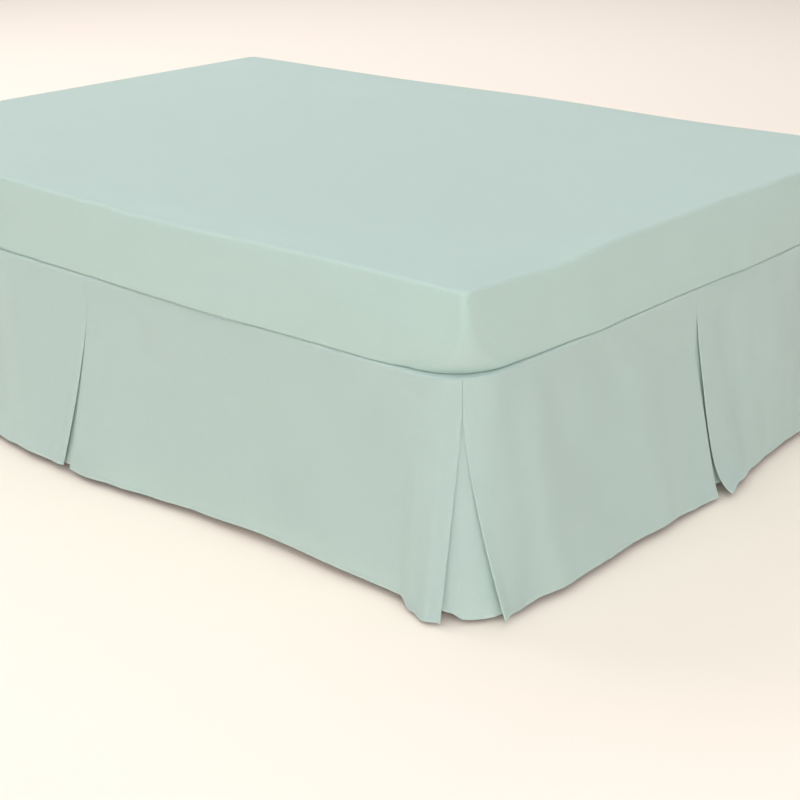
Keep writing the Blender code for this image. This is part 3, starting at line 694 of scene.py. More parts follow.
    def seam_frame(self, last, t):
        """Where the folded-back edge is seamed to the underlay."""
        edge = self.length if last else 0.0
        inward = -1 if last else 1
        return self.frame(edge + inward * (return_width(t) + SEAM_GAP / 2), t)


def hem_profile(above):
    """How far the hem stands out, by height above its edge: its thickness less the groove."""
    depth = bpy.context.scene.bed_skirt_sizes.hem_depth
    step = HEM_STEP * smooth((depth + HEM_STEP_FADE / 2 - above) / HEM_STEP_FADE)
    groove = HEM_GROOVE * np.exp(-(((above - depth + STITCHES_BELOW_TOP) / HEM_GROOVE_WIDTH) ** 2))
    return step - groove


def drop_rows():
    """Places down the drop, 0 to 1: even steps, and close ones in the hem and at the top."""
    even = np.linspace(0, DROP - HEM_ROWS[0] - HEM_ROWS_CLEAR, DROP_STEPS)
    rows = np.concatenate([even, DROP - np.array(HEM_ROWS), [DROP]])
    return rows / DROP


def face_columns(length, step):
    """Places across a panel: close steps beside its edges, wider ones between."""
    places = [0.0]
    while places[-1] < length / 2:
        places.append(places[-1] + lerp(EDGE_COLUMN, step, min(places[-1] / EDGE_FADE, 1.0)))
    half = np.array(places[:-1])
    return np.concatenate([half, length - half[::-1]])


def shoulder_rows(panel, across):
    """Points of the shoulder, from its edge beside the platform to the drop, and their lengths."""
    stretch = TURN_RADIUS + CLOTH / 2
    place = across.copy()
    if panel.first_pleat:
        place[0] = -stretch
    if panel.last_pleat:
        place[-1] = panel.length + stretch
    levels = [
        (FACE_OUT - SHOULDER_RADIUS - flap, PLATFORM_LEVEL, -flap)
        for flap in (SHOULDER_FLAP, SHOULDER_FLAP / 2)
    ]
    for i in range(SHOULDER_STEPS):
        angle = math.pi / 2 * (1 - i / SHOULDER_STEPS)
        out = FACE_OUT - SHOULDER_RADIUS * (1 - math.cos(angle))
        level = SHOULDER_END + SHOULDER_RADIUS * math.sin(angle)
        levels.append((out, level, SHOULDER_RADIUS * (math.pi / 2 - angle)))
    rows = []
    for out, level, _ in levels:
        points = outline_point(panel.start + place, out)
        points[:, 2] = level
        rows.append(points)
    whole = SHOULDER_RADIUS * math.pi / 2
    lengths = np.array([length - whole for _, _, length in levels])
    return np.stack(rows), lengths


def cloth_object(name, points, across, down, above, bare=None):
    """A mesh of quads from a grid of points, without the quads that touch a bare one."""
    rows, columns = points.shape[:2]
    index = np.arange(rows * columns).reshape(rows, columns)
    faces = np.stack(
        [index[:-1, :-1], index[1:, :-1], index[1:, 1:], index[:-1, 1:]], axis=-1
    ).reshape(-1, 4)
    if bare is not None:
        faces = faces[~bare.reshape(-1)[faces].any(axis=1)]
    used, faces = np.unique(faces, return_inverse=True)
    across, down, above = (
        np.broadcast_to(values, (rows, columns)).reshape(-1)[used]
        for values in (across, down, above)
    )
    points = points.reshape(-1, 3)[used]
    return mesh_object(name, points, faces.reshape(-1, 4), across, down, above)


def mesh_object(name, points, faces, across, down, above):
    """A linked mesh with the cloth's own lengths as its UV maps, for the weave and for the hem."""
    mesh = bpy.data.meshes.new(name)
    mesh.from_pydata(points.tolist(), [], faces.tolist())
    for layer, upright in (("weave", down), ("hem", above)):
        made = mesh.uv_layers.new(name=layer)
        pairs = np.stack([across, upright], axis=-1)[faces.reshape(-1)]
        made.data.foreach_set("uv", pairs.astype(np.float32).reshape(-1))
    mesh.uv_layers["weave"].active = True
    piece = bpy.data.objects.new(name, mesh)
    bpy.context.scene.collection.objects.link(piece)
    return piece


def select_only(piece):
    bpy.ops.object.select_all(action="DESELECT")
    piece.select_set(True)
    bpy.context.view_layer.objects.active = piece


def thicken(piece, thickness):
    """Gives a sheet its thickness, equally to both sides, and smooths it up to its cut edges."""
    select_only(piece)
    solid = piece.modifiers.new("thickness", "SOLIDIFY")
    solid.thickness = thickness
    solid.offset = 0
    bpy.ops.object.modifier_apply(modifier=solid.name)
    bpy.ops.object.shade_smooth_by_angle(angle=CLOTH_EDGE_ANGLE)


def finish_piece(piece, material, slot, *nodes):
    """Every piece rides on the bed's one body, stands for its nodes and takes its material."""
    piece.data.materials.clear()
    piece.data.materials.append(material)
    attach(piece, "root")
    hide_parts(*nodes)


def build_panel(panel, sizes, material):
    """One skirt panel with its shoulder, hem and folded-back pleat edges, as a thin sheet."""
    across = face_columns(panel.length, sizes.face_step)
    t = drop_rows()
    face = panel.point(across[None, :], t[:, None])
    shoulder, lengths = shoulder_rows(panel, across)
    parts = [face]
    places = [across]
    if panel.first_pleat:
        parts.insert(0, panel.fold_back(False, t))
        places.insert(0, -panel.fold_back_across(False))
    if panel.last_pleat:
        parts.append(panel.fold_back(True, t)[:, ::-1])
        places.append(panel.length + panel.fold_back_across(True)[::-1])
    drop = np.concatenate(parts, axis=1)
    hidden = RETURN_COLUMNS + TURN_COLUMNS
    before = hidden if panel.first_pleat else 0
    after = hidden if panel.last_pleat else 0
    top = np.zeros((len(shoulder), drop.shape[1], 3))
    top[:, before:before + len(across)] = shoulder
    points = np.concatenate([top, drop])
    bare = np.zeros(points.shape[:2], bool)
    bare[:len(shoulder), :before] = True
    bare[:len(shoulder), drop.shape[1] - after:] = True
    down = np.concatenate([lengths, t * DROP])[:, None]
    places = np.concatenate(places)[None, :]
    piece = cloth_object("cloth_panel_" + panel.name, points, places, down, DROP - down, bare)
    thicken(piece, sizes.cloth)
    finish_piece(piece, material, "skirt_cotton", "skirt_panel_" + panel.name)


def build_underlay(pleat, before, after, sizes, material):
    """The strip behind one pleat, from the seam of the panel before it to that of the next."""
    centre, *swings = PLEATS[pleat]
    t = drop_rows()
    f = np.linspace(0, 1, UNDERLAY_COLUMNS + 1)[None, :]
    strip = 2 * RETURN_TOP
    width = return_width(t)[:, None]
    opened_before, opened_after = (
        opening(t, closed / DROP, power, kick)[:, None] for closed, power, kick in swings
    )
    opened = lerp(opened_before, opened_after, smooth(2 * f - 0.5))
    seam_a, tangent_a, normal_a = before.seam_frame(True, t)
    seam_b, tangent_b, normal_b = after.seam_frame(False, t)
    drift = (before.hem[-1][0] + after.hem[0][0]) / 2 if before.side == after.side else 0.0
    if before.side == "left":
        drift = -drift
    hem = table_value(UNDERLAYS[pleat], f)
    shorter = table_value(UNDERLAYS[pleat], f, 2)
    down = t[:, None] * DROP
    number = list(PLEATS).index(pleat)
    rumple = random_waves(UNDERLAY_WAVES, number, f * strip, down, UNDERLAY_WAVES_UPRIGHT)
    reach = lerp(FACE_OUT - 2 * LAYER_STEP, hem, opened) + UNDERLAY_WAVE_DEPTH * rumple * opened
    reach = reach + hem_profile((1 - t[:, None]) * DROP)
    middle = outline_point(centre + drift * opened + width * (2 * f - 1), reach)
    middle[..., 2] = lerp(seam_a[:, None, 2], seam_b[:, None, 2], f) + shorter * t[:, None]
    shift_a = seam_a - normal_a * 2 * LAYER_STEP - middle[:, 0]
    shift_b = seam_b - normal_b * 2 * LAYER_STEP - middle[:, -1]
    middle = middle + shift_a[:, None] * smooth(1 - 3 * f)[..., None]
    middle = middle + shift_b[:, None] * smooth(3 * f - 2)[..., None]
    turn_a = underlay_turn(seam_a, -tangent_a, normal_a)
    turn_b = underlay_turn(seam_b, tangent_b, normal_b)
    points = np.concatenate([turn_a, middle, turn_b[:, ::-1]], axis=1)
    turn = np.linspace(-math.pi * TURN_RADIUS, 0, TURN_COLUMNS + 1)[:-1]
    across = np.concatenate([turn, f[0] * strip, strip - turn[::-1]])[None, :]
    piece = cloth_object("cloth_underlay_" + pleat, points, across, down, DROP - down)
    thicken(piece, sizes.cloth)
    finish_piece(piece, material, "skirt_cotton", "pleat_underlay_" + pleat)


def underlay_turn(seam, outward, normal):
    """The underlay's turned edge, from the seam round to its own layer, as columns."""
    columns = []
    for i in range(TURN_COLUMNS):
        angle = math.pi * i / TURN_COLUMNS
        depth = LAYER_STEP + TURN_RADIUS * (1 - math.cos(angle))
        columns.append(seam + outward * (TURN_RADIUS * math.sin(angle)) - normal * depth)
    return np.stack(columns, axis=1)


def add_node(tree, kind, inputs=None, **settings):
    """Adds a shader node with its settings; an input is a value, or a socket to link from."""
    node = tree.nodes.new("ShaderNode" + kind)
    for name, value in settings.items():
        setattr(node, name, value)
    for name, value in (inputs or {}).items():
        if isinstance(value, bpy.types.NodeSocket):
            tree.links.new(value, node.inputs[name])
        else:
            node.inputs[name].default_value = value
    return node


def new_material(name, roughness, sheen=0.0):
    """A material with one Principled shader, and its node tree."""
    made = bpy.data.materials.new(name)
    made.use_nodes = True
    shader = made.node_tree.nodes["Principled BSDF"]
    shader.inputs["Roughness"].default_value = roughness
    shader.inputs["Sheen Weight"].default_value = sheen
    shader.inputs["Sheen Roughness"].default_value = 0.6
    return made, made.node_tree, shader


def shaded(colour, factor):
    return (*[min(channel * factor, 1.0) for channel in colour[:3]], 1.0)


def percale(name, colour, sizes, hemmed):
    """Plain-woven percale cotton: a matt, even cloth with a fine thread grain and faint slubs.

    Light spreads a few millimetres in the thin cotton, so its folds and crevices stay soft.
    Real threads stand about 0.3 mm apart, which is too fine to show, so they are drawn coarser.
    """
    made, tree, shader = new_material(name, 0.88, 0.12)
    shader.inputs["Specular IOR Level"].default_value = 0.25
    shader.inputs["Subsurface Weight"].default_value = 0.7
    shader.inputs["Subsurface Radius"].default_value = (1.0, 1.0, 0.9)
    shader.inputs["Subsurface Scale"].default_value = 0.005
    weave = add_node(tree, "UVMap", uv_map="weave").outputs["UV"]
    bands = math.pi / 10 / sizes.thread
    warp, weft = (
        add_node(
            tree, "TexWave", {"Vector": weave, "Scale": bands},
            wave_type="BANDS", bands_direction=way,
        ).outputs["Fac"]
        for way in "XY"
    )
    threads = add_node(tree, "Math", {0: warp, 1: weft}, operation="MULTIPLY").outputs[0]
    slubs = []
    for stretch in ((900.0, 26.0, 1.0), (26.0, 900.0, 1.0)):
        place = add_node(tree, "Mapping", {"Vector": weave, "Scale": stretch}).outputs[0]
        noise = add_node(tree, "TexNoise", {"Vector": place, "Scale": 1.0, "Detail": 2.0})
        slubs.append(noise.outputs["Fac"])
    slub = add_node(tree, "Math", {0: slubs[0], 1: slubs[1]}, operation="ADD").outputs[0]
    cloud = add_node(
        tree, "TexNoise", {"Vector": weave, "Scale": 5.0, "Detail": 3.0}
    ).outputs["Fac"]
    tone = add_node(
        tree, "MapRange",
        {"Value": slub, "From Min": 0.6, "From Max": 1.4, "To Min": 0.0, "To Max": 1.0},
    ).outputs["Result"]
    tone = add_node(tree, "Math", {0: tone, 1: 0.55}, operation="MULTIPLY").outputs[0]
    tone = add_node(tree, "Math", {0: cloud, 1: 0.45, 2: tone}, operation="MULTIPLY_ADD").outputs[0]
    dyed = add_node(
        tree, "Mix", {0: tone, 6: shaded(colour, 0.965), 7: shaded(colour, 1.03)}, data_type="RGBA"
    ).outputs[2]
    height = add_node(
        tree, "Math", {0: slub, 1: 0.6, 2: threads}, operation="MULTIPLY_ADD"
    ).outputs[0]
    if hemmed:
        dyed, height = hem_stitches(tree, dyed, height, colour, sizes)
    tree.links.new(dyed, shader.inputs["Base Color"])
    bump = add_node(tree, "Bump", {"Strength": 0.35, "Distance": 0.0002, "Height": height})
    tree.links.new(bump.outputs["Normal"], shader.inputs["Normal"])
    return made


def hem_stitches(tree, dyed, height, colour, sizes):
    """A row of lockstitches in matching thread just under the top of the hem."""
    hem = add_node(tree, "UVMap", uv_map="hem").outputs["UV"]
    split = add_node(tree, "SeparateXYZ", {"Vector": hem})
    line = sizes.hem_depth - STITCHES_BELOW_TOP
    off = add_node(tree, "Math", {0: split.outputs["Y"], 1: line}, operation="SUBTRACT").outputs[0]
    off = add_node(tree, "Math", {0: off}, operation="ABSOLUTE").outputs[0]
    row = add_node(tree, "Math", {0: off, 1: STITCH_HALF_WIDTH}, operation="LESS_THAN").outputs[0]
    beat = add_node(
        tree, "Math", {0: split.outputs["X"], 1: sizes.stitch}, operation="PINGPONG"
    ).outputs[0]
    part = sizes.stitch * STITCH_GAP_SHARE
    gap = add_node(tree, "Math", {0: beat, 1: part}, operation="GREATER_THAN").outputs[0]
    stitch = add_node(tree, "Math", {0: row, 1: gap}, operation="MULTIPLY").outputs[0]
    dyed = add_node(
        tree, "Mix", {0: stitch, 6: dyed, 7: shaded(colour, 0.90)}, data_type="RGBA"
    ).outputs[2]
    height = add_node(
        tree, "Math", {0: stitch, 1: 1.5, 2: height}, operation="MULTIPLY_ADD"
    ).outputs[0]
    return dyed, height


def woven_ticking(name, colour):
    """Closely woven twill ticking: a tough matt cover with diagonal ribs, 3.7 mm apart."""
    made, tree, shader = new_material(name, 0.9, 0.05)
    place = add_node(tree, "TexCoord").outputs["Object"]
    bands = math.pi / 5 / RIB_STEP
    rib = add_node(
        tree, "TexWave", {"Vector": place, "Scale": bands, "Distortion": 0.4},
        wave_type="BANDS", bands_direction="DIAGONAL",
    ).outputs["Fac"]
    cloud = add_node(
        tree, "TexNoise", {"Vector": place, "Scale": 60.0, "Detail": 4.0}
    ).outputs["Fac"]
    tone = add_node(tree, "Math", {0: rib, 1: 0.4, 2: cloud}, operation="MULTIPLY_ADD").outputs[0]
    dyed = add_node(
        tree, "Mix", {0: tone, 6: shaded(colour, 0.93), 7: shaded(colour, 1.04)}, data_type="RGBA"
    ).outputs[2]
    tree.links.new(dyed, shader.inputs["Base Color"])
    bump = add_node(tree, "Bump", {"Strength": 0.5, "Distance": 0.0003, "Height": rib})
    tree.links.new(bump.outputs["Normal"], shader.inputs["Normal"])
    return made


def turned_beech(name, colour):
    """Turned, lacquered beech: pale, with short darker flecks along the grain and a satin shine."""
    made, tree, shader = new_material(name, 0.42)
    place = add_node(tree, "TexCoord").outputs["Object"]
    along = add_node(tree, "Mapping", {"Vector": place, "Scale": (260.0, 260.0, 18.0)}).outputs[0]
    grain = add_node(
        tree, "TexNoise", {"Vector": along, "Scale": 1.0, "Detail": 5.0}
    ).outputs["Fac"]
    flecks = add_node(tree, "Mapping", {"Vector": place, "Scale": (900.0, 900.0, 120.0)}).outputs[0]
    fleck = add_node(
        tree, "TexNoise", {"Vector": flecks, "Scale": 1.0, "Detail": 2.0}
    ).outputs["Fac"]
    fleck = add_node(
        tree, "MapRange",
        {"Value": fleck, "From Min": 0.58, "From Max": 0.70, "To Min": 0.0, "To Max": 0.5},
    ).outputs["Result"]
    wood = add_node(
        tree, "Mix", {0: grain, 6: shaded(colour, 0.80), 7: shaded(colour, 1.12)}, data_type="RGBA"
    ).outputs[2]
    wood = add_node(
        tree, "Mix", {0: fleck, 6: wood, 7: shaded(colour, 0.55)}, data_type="RGBA"
    ).outputs[2]
    tree.links.new(wood, shader.inputs["Base Color"])
    bump = add_node(tree, "Bump", {"Strength": 0.2, "Distance": 0.0003, "Height": grain})
    tree.links.new(bump.outputs["Normal"], shader.inputs["Normal"])
    return made


def mattress_profile(run):
    """Offset out from the mattress's outline, height and share of the wall, by run over the edge.

    Runs below 0 lie on the top, and the wall ends in the rounded lower edge.
    """
    upper = MATTRESS_UPPER_RADIUS * math.pi / 2
    wall_top = MATTRESS_TOP - MATTRESS_CROWN - MATTRESS_UPPER_RADIUS
    wall = wall_top - MATTRESS_LEVEL - MATTRESS_UNDER_RADIUS
    angle = np.clip(run / MATTRESS_UPPER_RADIUS, 0, math.pi / 2)
    past = np.clip(run - upper, 0, wall)
    under = np.clip((run - upper - wall) / MATTRESS_UNDER_RADIUS, 0, math.pi / 2)
    out = np.minimum(run, 0.0) - MATTRESS_UPPER_RADIUS * (1 - np.sin(angle))
    out = out + MATTRESS_WALL_SWELL * np.sin(math.pi * past / wall)
    out = out - MATTRESS_UNDER_RADIUS * (1 - np.cos(under))
    level = wall_top + MATTRESS_UPPER_RADIUS * np.cos(angle) - past
    return out, level - MATTRESS_UNDER_RADIUS * np.sin(under), past / wall


def mattress_run():
    """Length from the top's edge down the wall to the flat underside."""
    turns = (MATTRESS_UPPER_RADIUS + MATTRESS_UNDER_RADIUS) * (math.pi / 2 - 1)
    return MATTRESS_TOP - MATTRESS_CROWN - MATTRESS_LEVEL + turns


def mattress_axis(half):
    """Grid places along one axis: even on the top, closer over the edge and wall."""
    flat = half - MATTRESS_UPPER_CORNER
    top = np.linspace(-flat, flat, round(2 * flat / MATTRESS_GRID) + 1)
    drape = MATTRESS_UPPER_CORNER - MATTRESS_UPPER_RADIUS + mattress_run()
    reach = flat + drape * np.linspace(0, 1, MATTRESS_EDGE_STEPS)[1:]
    return np.concatenate([-reach[::-1], top, reach])


def place_round(x, y, turn):
    """Place round the mattress of each grid point; turn runs from 0 at a side to 1 at an end."""
    corner = MATTRESS_UPPER_CORNER
    inner_x = np.clip(x, corner - HALF_WIDTH, HALF_WIDTH - corner)
    inner_y = np.clip(y, corner - HALF_LENGTH, HALF_LENGTH - corner)
    arc = 2 * corner * turn
    beside = HALF_WIDTH - np.abs(x) < HALF_LENGTH - np.abs(y)
    side_left = HALF_LENGTH - inner_y
    side_right = BED_LENGTH + BED_WIDTH + HALF_LENGTH + inner_y
    foot = BED_LENGTH + HALF_WIDTH + inner_x
    head = 2 * BED_LENGTH + BED_WIDTH + HALF_WIDTH - inner_x
    straight = np.where(beside, np.where(x < 0, side_left, side_right), np.where(y < 0, foot, head))
    rounded = np.where(
        x < 0,
        np.where(y < 0, side_left + arc, head + 2 * corner - arc),
        np.where(y < 0, foot + 2 * corner - arc, side_right + arc),
    )
    return np.where(np.isnan(turn), straight, rounded)


def build_mattress(material):
    """The mattress in its fitted sheet: a padded form whose cloth is drawn in under the corners."""
    x, y = np.meshgrid(mattress_axis(HALF_WIDTH), mattress_axis(HALF_LENGTH)[::-1])
    flat_x = HALF_WIDTH - MATTRESS_UPPER_CORNER
    flat_y = HALF_LENGTH - MATTRESS_UPPER_CORNER
    past_x = np.maximum(np.abs(x) - flat_x, 0.0)
    past_y = np.maximum(np.abs(y) - flat_y, 0.0)
    run = np.maximum(past_x, past_y) - MATTRESS_UPPER_CORNER + MATTRESS_UPPER_RADIUS
    shorter = np.minimum(past_x, past_y) / np.maximum(np.maximum(past_x, past_y), 1e-9)
    in_corner = (past_x > 0) & (past_y > 0)
    turn = np.where(past_x >= past_y, shorter / 2, 1 - shorter / 2)
    place = place_round(x, y, np.where(in_corner, turn, np.nan))
    turn = np.where(in_corner, turn, np.where(past_y > 0, 1.0, 0.0)) * math.pi / 2
    outward = np.stack([np.sign(x) * np.cos(turn), np.sign(y) * np.sin(turn)], axis=-1)
    outward *= ((past_x > 0) | (past_y > 0))[..., None]

    out, level, share = mattress_profile(run)
    drawn_in = share ** MATTRESS_DRAWN_IN_POWER
    corner = lerp(MATTRESS_UPPER_CORNER, MATTRESS_UNDER_CORNER, drawn_in)
    core_x = np.clip(x, -flat_x, flat_x) * (HALF_WIDTH - corner) / flat_x
    core_y = np.clip(y, -flat_y, flat_y) * (HALF_LENGTH - corner) / flat_y
    spread = smooth((run + WALL_REACH_START) / WALL_REACH_FADE)
    spread = spread * lerp(UPPER_REACH_SHARE, 1.0, share)
    out = out + table_value(WALL_REACH, place) * spread
    out = out + wall_push(place, level, run, turn * in_corner / (math.pi / 2))
    plan = np.stack([core_x, core_y], axis=-1) + outward * np.maximum(corner + out, 0.0)[..., None]
    level = level + top_rise(plan[..., 0], plan[..., 1], place, run)
    points = np.concatenate([plan, level[..., None]], axis=-1)
    points[..., 1] += BED_CENTRE_Y
    piece = close_mattress(points, x, y)
    finish_piece(piece, material, "fitted_sheet_cotton", "mattress")


def wall_push(place, level, run, turn):
    """Outward push of the wall's soft hollows, its small waves and the corner puckers."""
    height = level - MATTRESS_LEVEL
    push = soft_folds(WALL_FOLDS, place, height)
    waves = random_waves(MATTRESS_WALL_WAVES, 0, place, height, MATTRESS_WALL_WAVES_UPRIGHT)
    push = push + MATTRESS_WALL_WAVE_DEPTH * waves
    push = push * smooth((run + WALL_HOLLOWS_START) / WALL_HOLLOWS_FADE)
    for at, down, width, length, depth in CORNER_PUCKERS:
        off = np.hypot((turn - at) / width, (run - down) / length)
        push = push + depth * np.exp(-(off ** 2)) * (turn > 0)
    return push


def top_rise(x, y, place, run):
    """Rise of the mattress's top: crown, soft hollows and the sag of its upper edge."""
    inset = np.maximum(np.minimum(HALF_WIDTH - np.abs(x), HALF_LENGTH - np.abs(y)), 0.0)
    on_top = smooth(1 - (run + TOP_RISE_END) / TOP_RISE_FADE)
    waves = random_waves(MATTRESS_TOP_WAVES, 0, x, y)
    rise = soft_folds(TOP_FOLDS, x, y) + MATTRESS_TOP_WAVE_DEPTH * waves
    rise = np.minimum(rise, MATTRESS_MOST_RISE) * smooth(inset / MATTRESS_RISE_FADE)
    rise = (rise + MATTRESS_CROWN * smooth(inset / MATTRESS_CROWN_REACH)) * on_top
    upper = smooth(1 - run / (EDGE_SAG_DOWN * mattress_run()))
    return rise - table_value(EDGE_SAG, place) * smooth(1 - inset / EDGE_SAG_REACH) * upper


def close_mattress(points, x, y):
    """Closes the draped grid underneath with one flat face."""
    piece = cloth_object("fitted_mattress", points, x, y, np.full_like(x, mattress_run()))
    select_only(piece)
    bpy.ops.object.mode_set(mode="EDIT")
    bpy.ops.mesh.select_all(action="DESELECT")
    bpy.ops.mesh.select_mode(type="EDGE")
    bpy.ops.mesh.select_non_manifold(
        use_wire=False, use_multi_face=False, use_non_contiguous=False, use_verts=False
    )
    bpy.ops.mesh.edge_face_add()
    bpy.ops.mesh.select_all(action="SELECT")
    bpy.ops.mesh.normals_make_consistent(inside=False)
    bpy.ops.object.mode_set(mode="OBJECT")
    bpy.ops.object.shade_smooth()
    return piece


def build_platform(sizes, material):
    """The flat sheet between base and mattress, its edge butted to the panels' shoulder flaps."""
    reach = FACE_OUT - SHOULDER_RADIUS - SHOULDER_FLAP - SEAM_GAP
    corner = QUARTER_TURN * np.linspace(0, 1, PLATFORM_CORNER_STEPS + 1)
    half = outline_point(np.concatenate([[CLOTH], BED_LENGTH - CORNER_RADIUS + corner]), reach)
    outline = np.concatenate([half, half[::-1] * np.array([-1, 1, 1])])
    outline[:, 2] = PLATFORM_LEVEL
    x, y, _ = outline.T
    face = np.arange(len(outline))[None, :]
    piece = mesh_object("cloth_platform", outline, face, x, y, np.ones_like(x))
    thicken(piece, sizes.cloth)
    finish_piece(piece, material, "skirt_cotton", "skirt_platform")


def bevel_edges(piece, test, offset, segments):
    """Rounds the edges whose two ends pass a test of their places."""
    bpy.ops.object.mode_set(mode="EDIT")
    bpy.ops.mesh.select_mode(type="EDGE")
    bpy.ops.mesh.select_all(action="DESELECT")
    bpy.ops.object.mode_set(mode="OBJECT")
    verts = piece.data.vertices
    for edge in piece.data.edges:
        edge.select = test(*(verts[i].co for i in edge.vertices))
    bpy.ops.object.mode_set(mode="EDIT")
    bpy.ops.mesh.bevel(offset=offset, segments=segments, profile=0.5)
    bpy.ops.object.mode_set(mode="OBJECT")


def build_base(material):
    """The divan base: a covered box with rounded foot corners and softened edges."""
    size = BASE_HIGH - BASE_LOW
    bpy.ops.object.select_all(action="DESELECT")
    bpy.ops.mesh.primitive_cube_add(size=1, location=(BASE_LOW + BASE_HIGH) / 2)
    piece = bpy.context.object
    piece.name = "divan_base"
    bpy.ops.transform.resize(value=size)
    bpy.ops.object.transform_apply(location=True, rotation=True, scale=True)

    def upright(a, b):
        return abs(a.z - b.z) > size.z / 2

    rounds = (
        (lambda a, b: upright(a, b) and max(a.y, b.y) < BASE_LOW.y + NEAR, BASE_CORNER_ROUND),
        (lambda a, b: min(a.z, b.z) > BASE_HIGH.z - NEAR, BASE_TOP_ROUND),
        (lambda a, b: max(a.z, b.z) < BASE_LOW.z + NEAR, BASE_BOTTOM_ROUND),
        (lambda a, b: upright(a, b) and min(a.y, b.y) > BASE_HIGH.y - NEAR, BASE_HEAD_ROUND),
    )
    for test, (offset, segments) in rounds:
        bevel_edges(piece, test, offset, segments)
    bpy.ops.object.shade_smooth_by_angle(angle=HARD_EDGE_ANGLE)
    finish_piece(piece, material, "base_ticking", "bed_base")


def build_feet(material):
    """Six plain turned feet: one is modelled and the others are copies of it."""
    first = None
    for number in range(1, FEET + 1):
        low, high = (Vector(corner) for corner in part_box(f"base_foot_{number}"))
        centre = (low + high) / 2
        if first is None:
            bpy.ops.object.select_all(action="DESELECT")
            bpy.ops.mesh.primitive_cylinder_add(
                vertices=64, radius=(high.x - low.x) / 2, depth=high.z - low.z, location=centre
            )
            piece = first = bpy.context.object
            first_centre = centre
            bpy.ops.object.transform_apply(location=True, rotation=True, scale=True)
            bevel_edges(piece, lambda a, b: max(a.z, b.z) < NEAR, *FOOT_ROUND)
            bpy.ops.object.shade_smooth_by_angle(angle=HARD_EDGE_ANGLE)
        else:
            piece = first.copy()
            piece.data = first.data.copy()
            piece.data.transform(Matrix.Translation(centre - first_centre))
            bpy.context.scene.collection.objects.link(piece)
        piece.name = f"turned_foot_{number}"
        finish_piece(piece, material, "beech", f"base_foot_{number}")


class BEDSKIRT_OT_cloth_panels(bpy.types.Operator):
    """Makes the skirt's six panels and the five underlays of its pleats"""

    bl_idname = "bed_skirt.cloth_panels"
    bl_label = "Skirt Panels and Pleats"

    def execute(self, context):
        sizes = context.scene.bed_skirt_sizes
        cotton = percale("skirt_percale", context.scene.bed_skirt_colours.skirt, sizes, True)
        panels = [Panel(name, sizes.rumple) for name in PANELS]
        for panel in panels:
            build_panel(panel, sizes, cotton)
        for before, after in zip(panels, panels[1:]):
            build_underlay(before.last_pleat, before, after, sizes, cotton)
        return {"FINISHED"}


class BEDSKIRT_OT_platform(bpy.types.Operator):
    """Makes the flat platform sheet that holds the skirt under the mattress"""

    bl_idname = "bed_skirt.platform"
    bl_label = "Platform"

    def execute(self, context):
        sizes = context.scene.bed_skirt_sizes
        cotton = percale("platform_percale", context.scene.bed_skirt_colours.skirt, sizes, False)
        build_platform(sizes, cotton)
        return {"FINISHED"}


class BEDSKIRT_OT_mattress(bpy.types.Operator):
    """Makes the mattress in its fitted sheet"""

    bl_idname = "bed_skirt.mattress"
    bl_label = "Mattress in Fitted Sheet"

    def execute(self, context):
        sizes = context.scene.bed_skirt_sizes
        cotton = percale("fitted_percale", context.scene.bed_skirt_colours.fitted, sizes, False)
        build_mattress(cotton)
        return {"FINISHED"}


class BEDSKIRT_OT_base(bpy.types.Operator):
    """Makes the divan base and its six feet"""

    bl_idname = "bed_skirt.base"
    bl_label = "Divan Base and Feet"

    def execute(self, context):
        colours = context.scene.bed_skirt_colours
        build_base(woven_ticking("woven_ticking", colours.ticking))
        build_feet(turned_beech("turned_beech", colours.beech))
        return {"FINISHED"}


class BEDSKIRT_OT_stage(bpy.types.Operator):
    """Makes the plain floor, the soft light and the camera"""

    bl_idname = "bed_skirt.stage"
    bl_label = "Floor, Light and Camera"

    def execute(self, context):
        scene = context.scene
        bpy.ops.object.select_all(action="DESELECT")
        bpy.ops.mesh.primitive_plane_add(size=FLOOR_SIZE)
        floor = context.object
        floor.name = "floor"
        made, _, shader = new_material("plain_floor", 0.8)
        shader.inputs["Base Color"].default_value = (*scene.bed_skirt_colours.floor, 1.0)
        floor.data.materials.append(made)
        world = bpy.data.worlds.new("studio")
        world.use_nodes = True
        background = world.node_tree.nodes["Background"]
        background.inputs["Color"].default_value = (1.0, 1.0, 1.0, 1.0)
        background.inputs["Strength"].default_value = WORLD_STRENGTH
        scene.world = world
        for name, kind, place, aim, size, power in LIGHTS:
            bpy.ops.object.light_add(type=kind, location=place)
            light = context.object
            light.name = name
            light.data.energy = power
            if kind == "SUN":
                light.data.angle = math.radians(size)
            else:
                light.data.size = size
            direction = Vector(aim) - Vector(place)
            light.rotation_euler = direction.to_track_quat("-Z", "Y").to_euler()
        scene.view_settings.view_transform = "Standard"
        place_camera(scene)
        return {"FINISHED"}


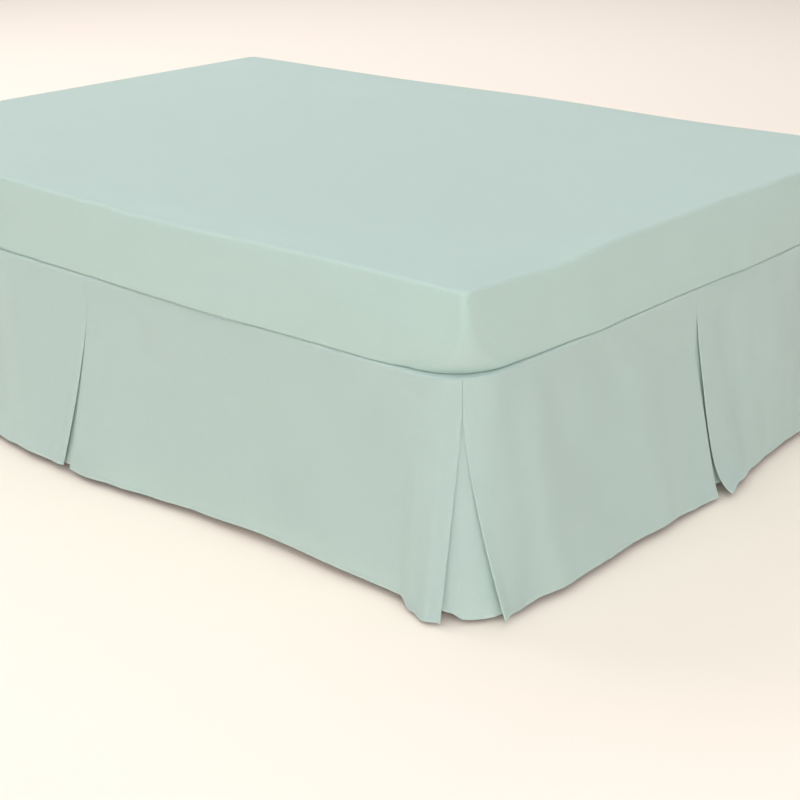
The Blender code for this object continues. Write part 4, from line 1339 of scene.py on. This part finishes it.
def place_camera(scene):
    """A level-eyed camera beyond the foot end's left corner."""
    yaw, pitch, roll = (math.radians(a) for a in (CAMERA_YAW, CAMERA_PITCH, CAMERA_ROLL))
    level = math.cos(pitch)
    forward = Vector((math.sin(yaw) * level, math.cos(yaw) * level, -math.sin(pitch)))
    level_right = Vector((math.cos(yaw), -math.sin(yaw), 0.0))
    level_up = level_right.cross(forward)
    right = level_right * math.cos(roll) + level_up * math.sin(roll)
    up = level_up * math.cos(roll) - level_right * math.sin(roll)
    bpy.ops.object.camera_add()
    camera = bpy.context.object
    camera.name = "camera"
    turned = Matrix((right, up, -forward)).transposed().to_4x4()
    place = Vector(CAMERA_PLACE) + Vector((0.0, BED_CENTRE_Y, 0.0))
    camera.matrix_world = Matrix.Translation(place) @ turned
    camera.data.sensor_width = SENSOR_WIDTH
    camera.data.lens = CAMERA_LENS
    camera.data.clip_start = 0.05
    scene.camera = camera


STEPS = (
    BEDSKIRT_OT_base,
    BEDSKIRT_OT_platform,
    BEDSKIRT_OT_cloth_panels,
    BEDSKIRT_OT_mattress,
    BEDSKIRT_OT_stage,
)


class BEDSKIRT_PT_panel(bpy.types.Panel):
    """Sizes, colours and the steps that make the bed skirt"""

    bl_idname = "BEDSKIRT_PT_panel"
    bl_label = "Bed Skirt"
    bl_space_type = "VIEW_3D"
    bl_region_type = "UI"
    bl_category = "Bed Skirt"

    def draw(self, context):
        for group in (context.scene.bed_skirt_sizes, context.scene.bed_skirt_colours):
            for name in group.__annotations__:
                self.layout.prop(group, name)
        for step in STEPS:
            self.layout.operator(step.bl_idname)


CLASSES = (BedSkirtSizes, BedSkirtColours, *STEPS, BEDSKIRT_PT_panel)


def register():
    for cls in CLASSES:
        bpy.utils.register_class(cls)
    bpy.types.Scene.bed_skirt_sizes = bpy.props.PointerProperty(type=BedSkirtSizes)
    bpy.types.Scene.bed_skirt_colours = bpy.props.PointerProperty(type=BedSkirtColours)


def unregister():
    del bpy.types.Scene.bed_skirt_colours
    del bpy.types.Scene.bed_skirt_sizes
    for cls in reversed(CLASSES):
        bpy.utils.unregister_class(cls)


def main():
    register()
    for step in STEPS:
        group, name = step.bl_idname.split(".")
        getattr(getattr(bpy.ops, group), name)()


if __name__ == "__main__":
    main()
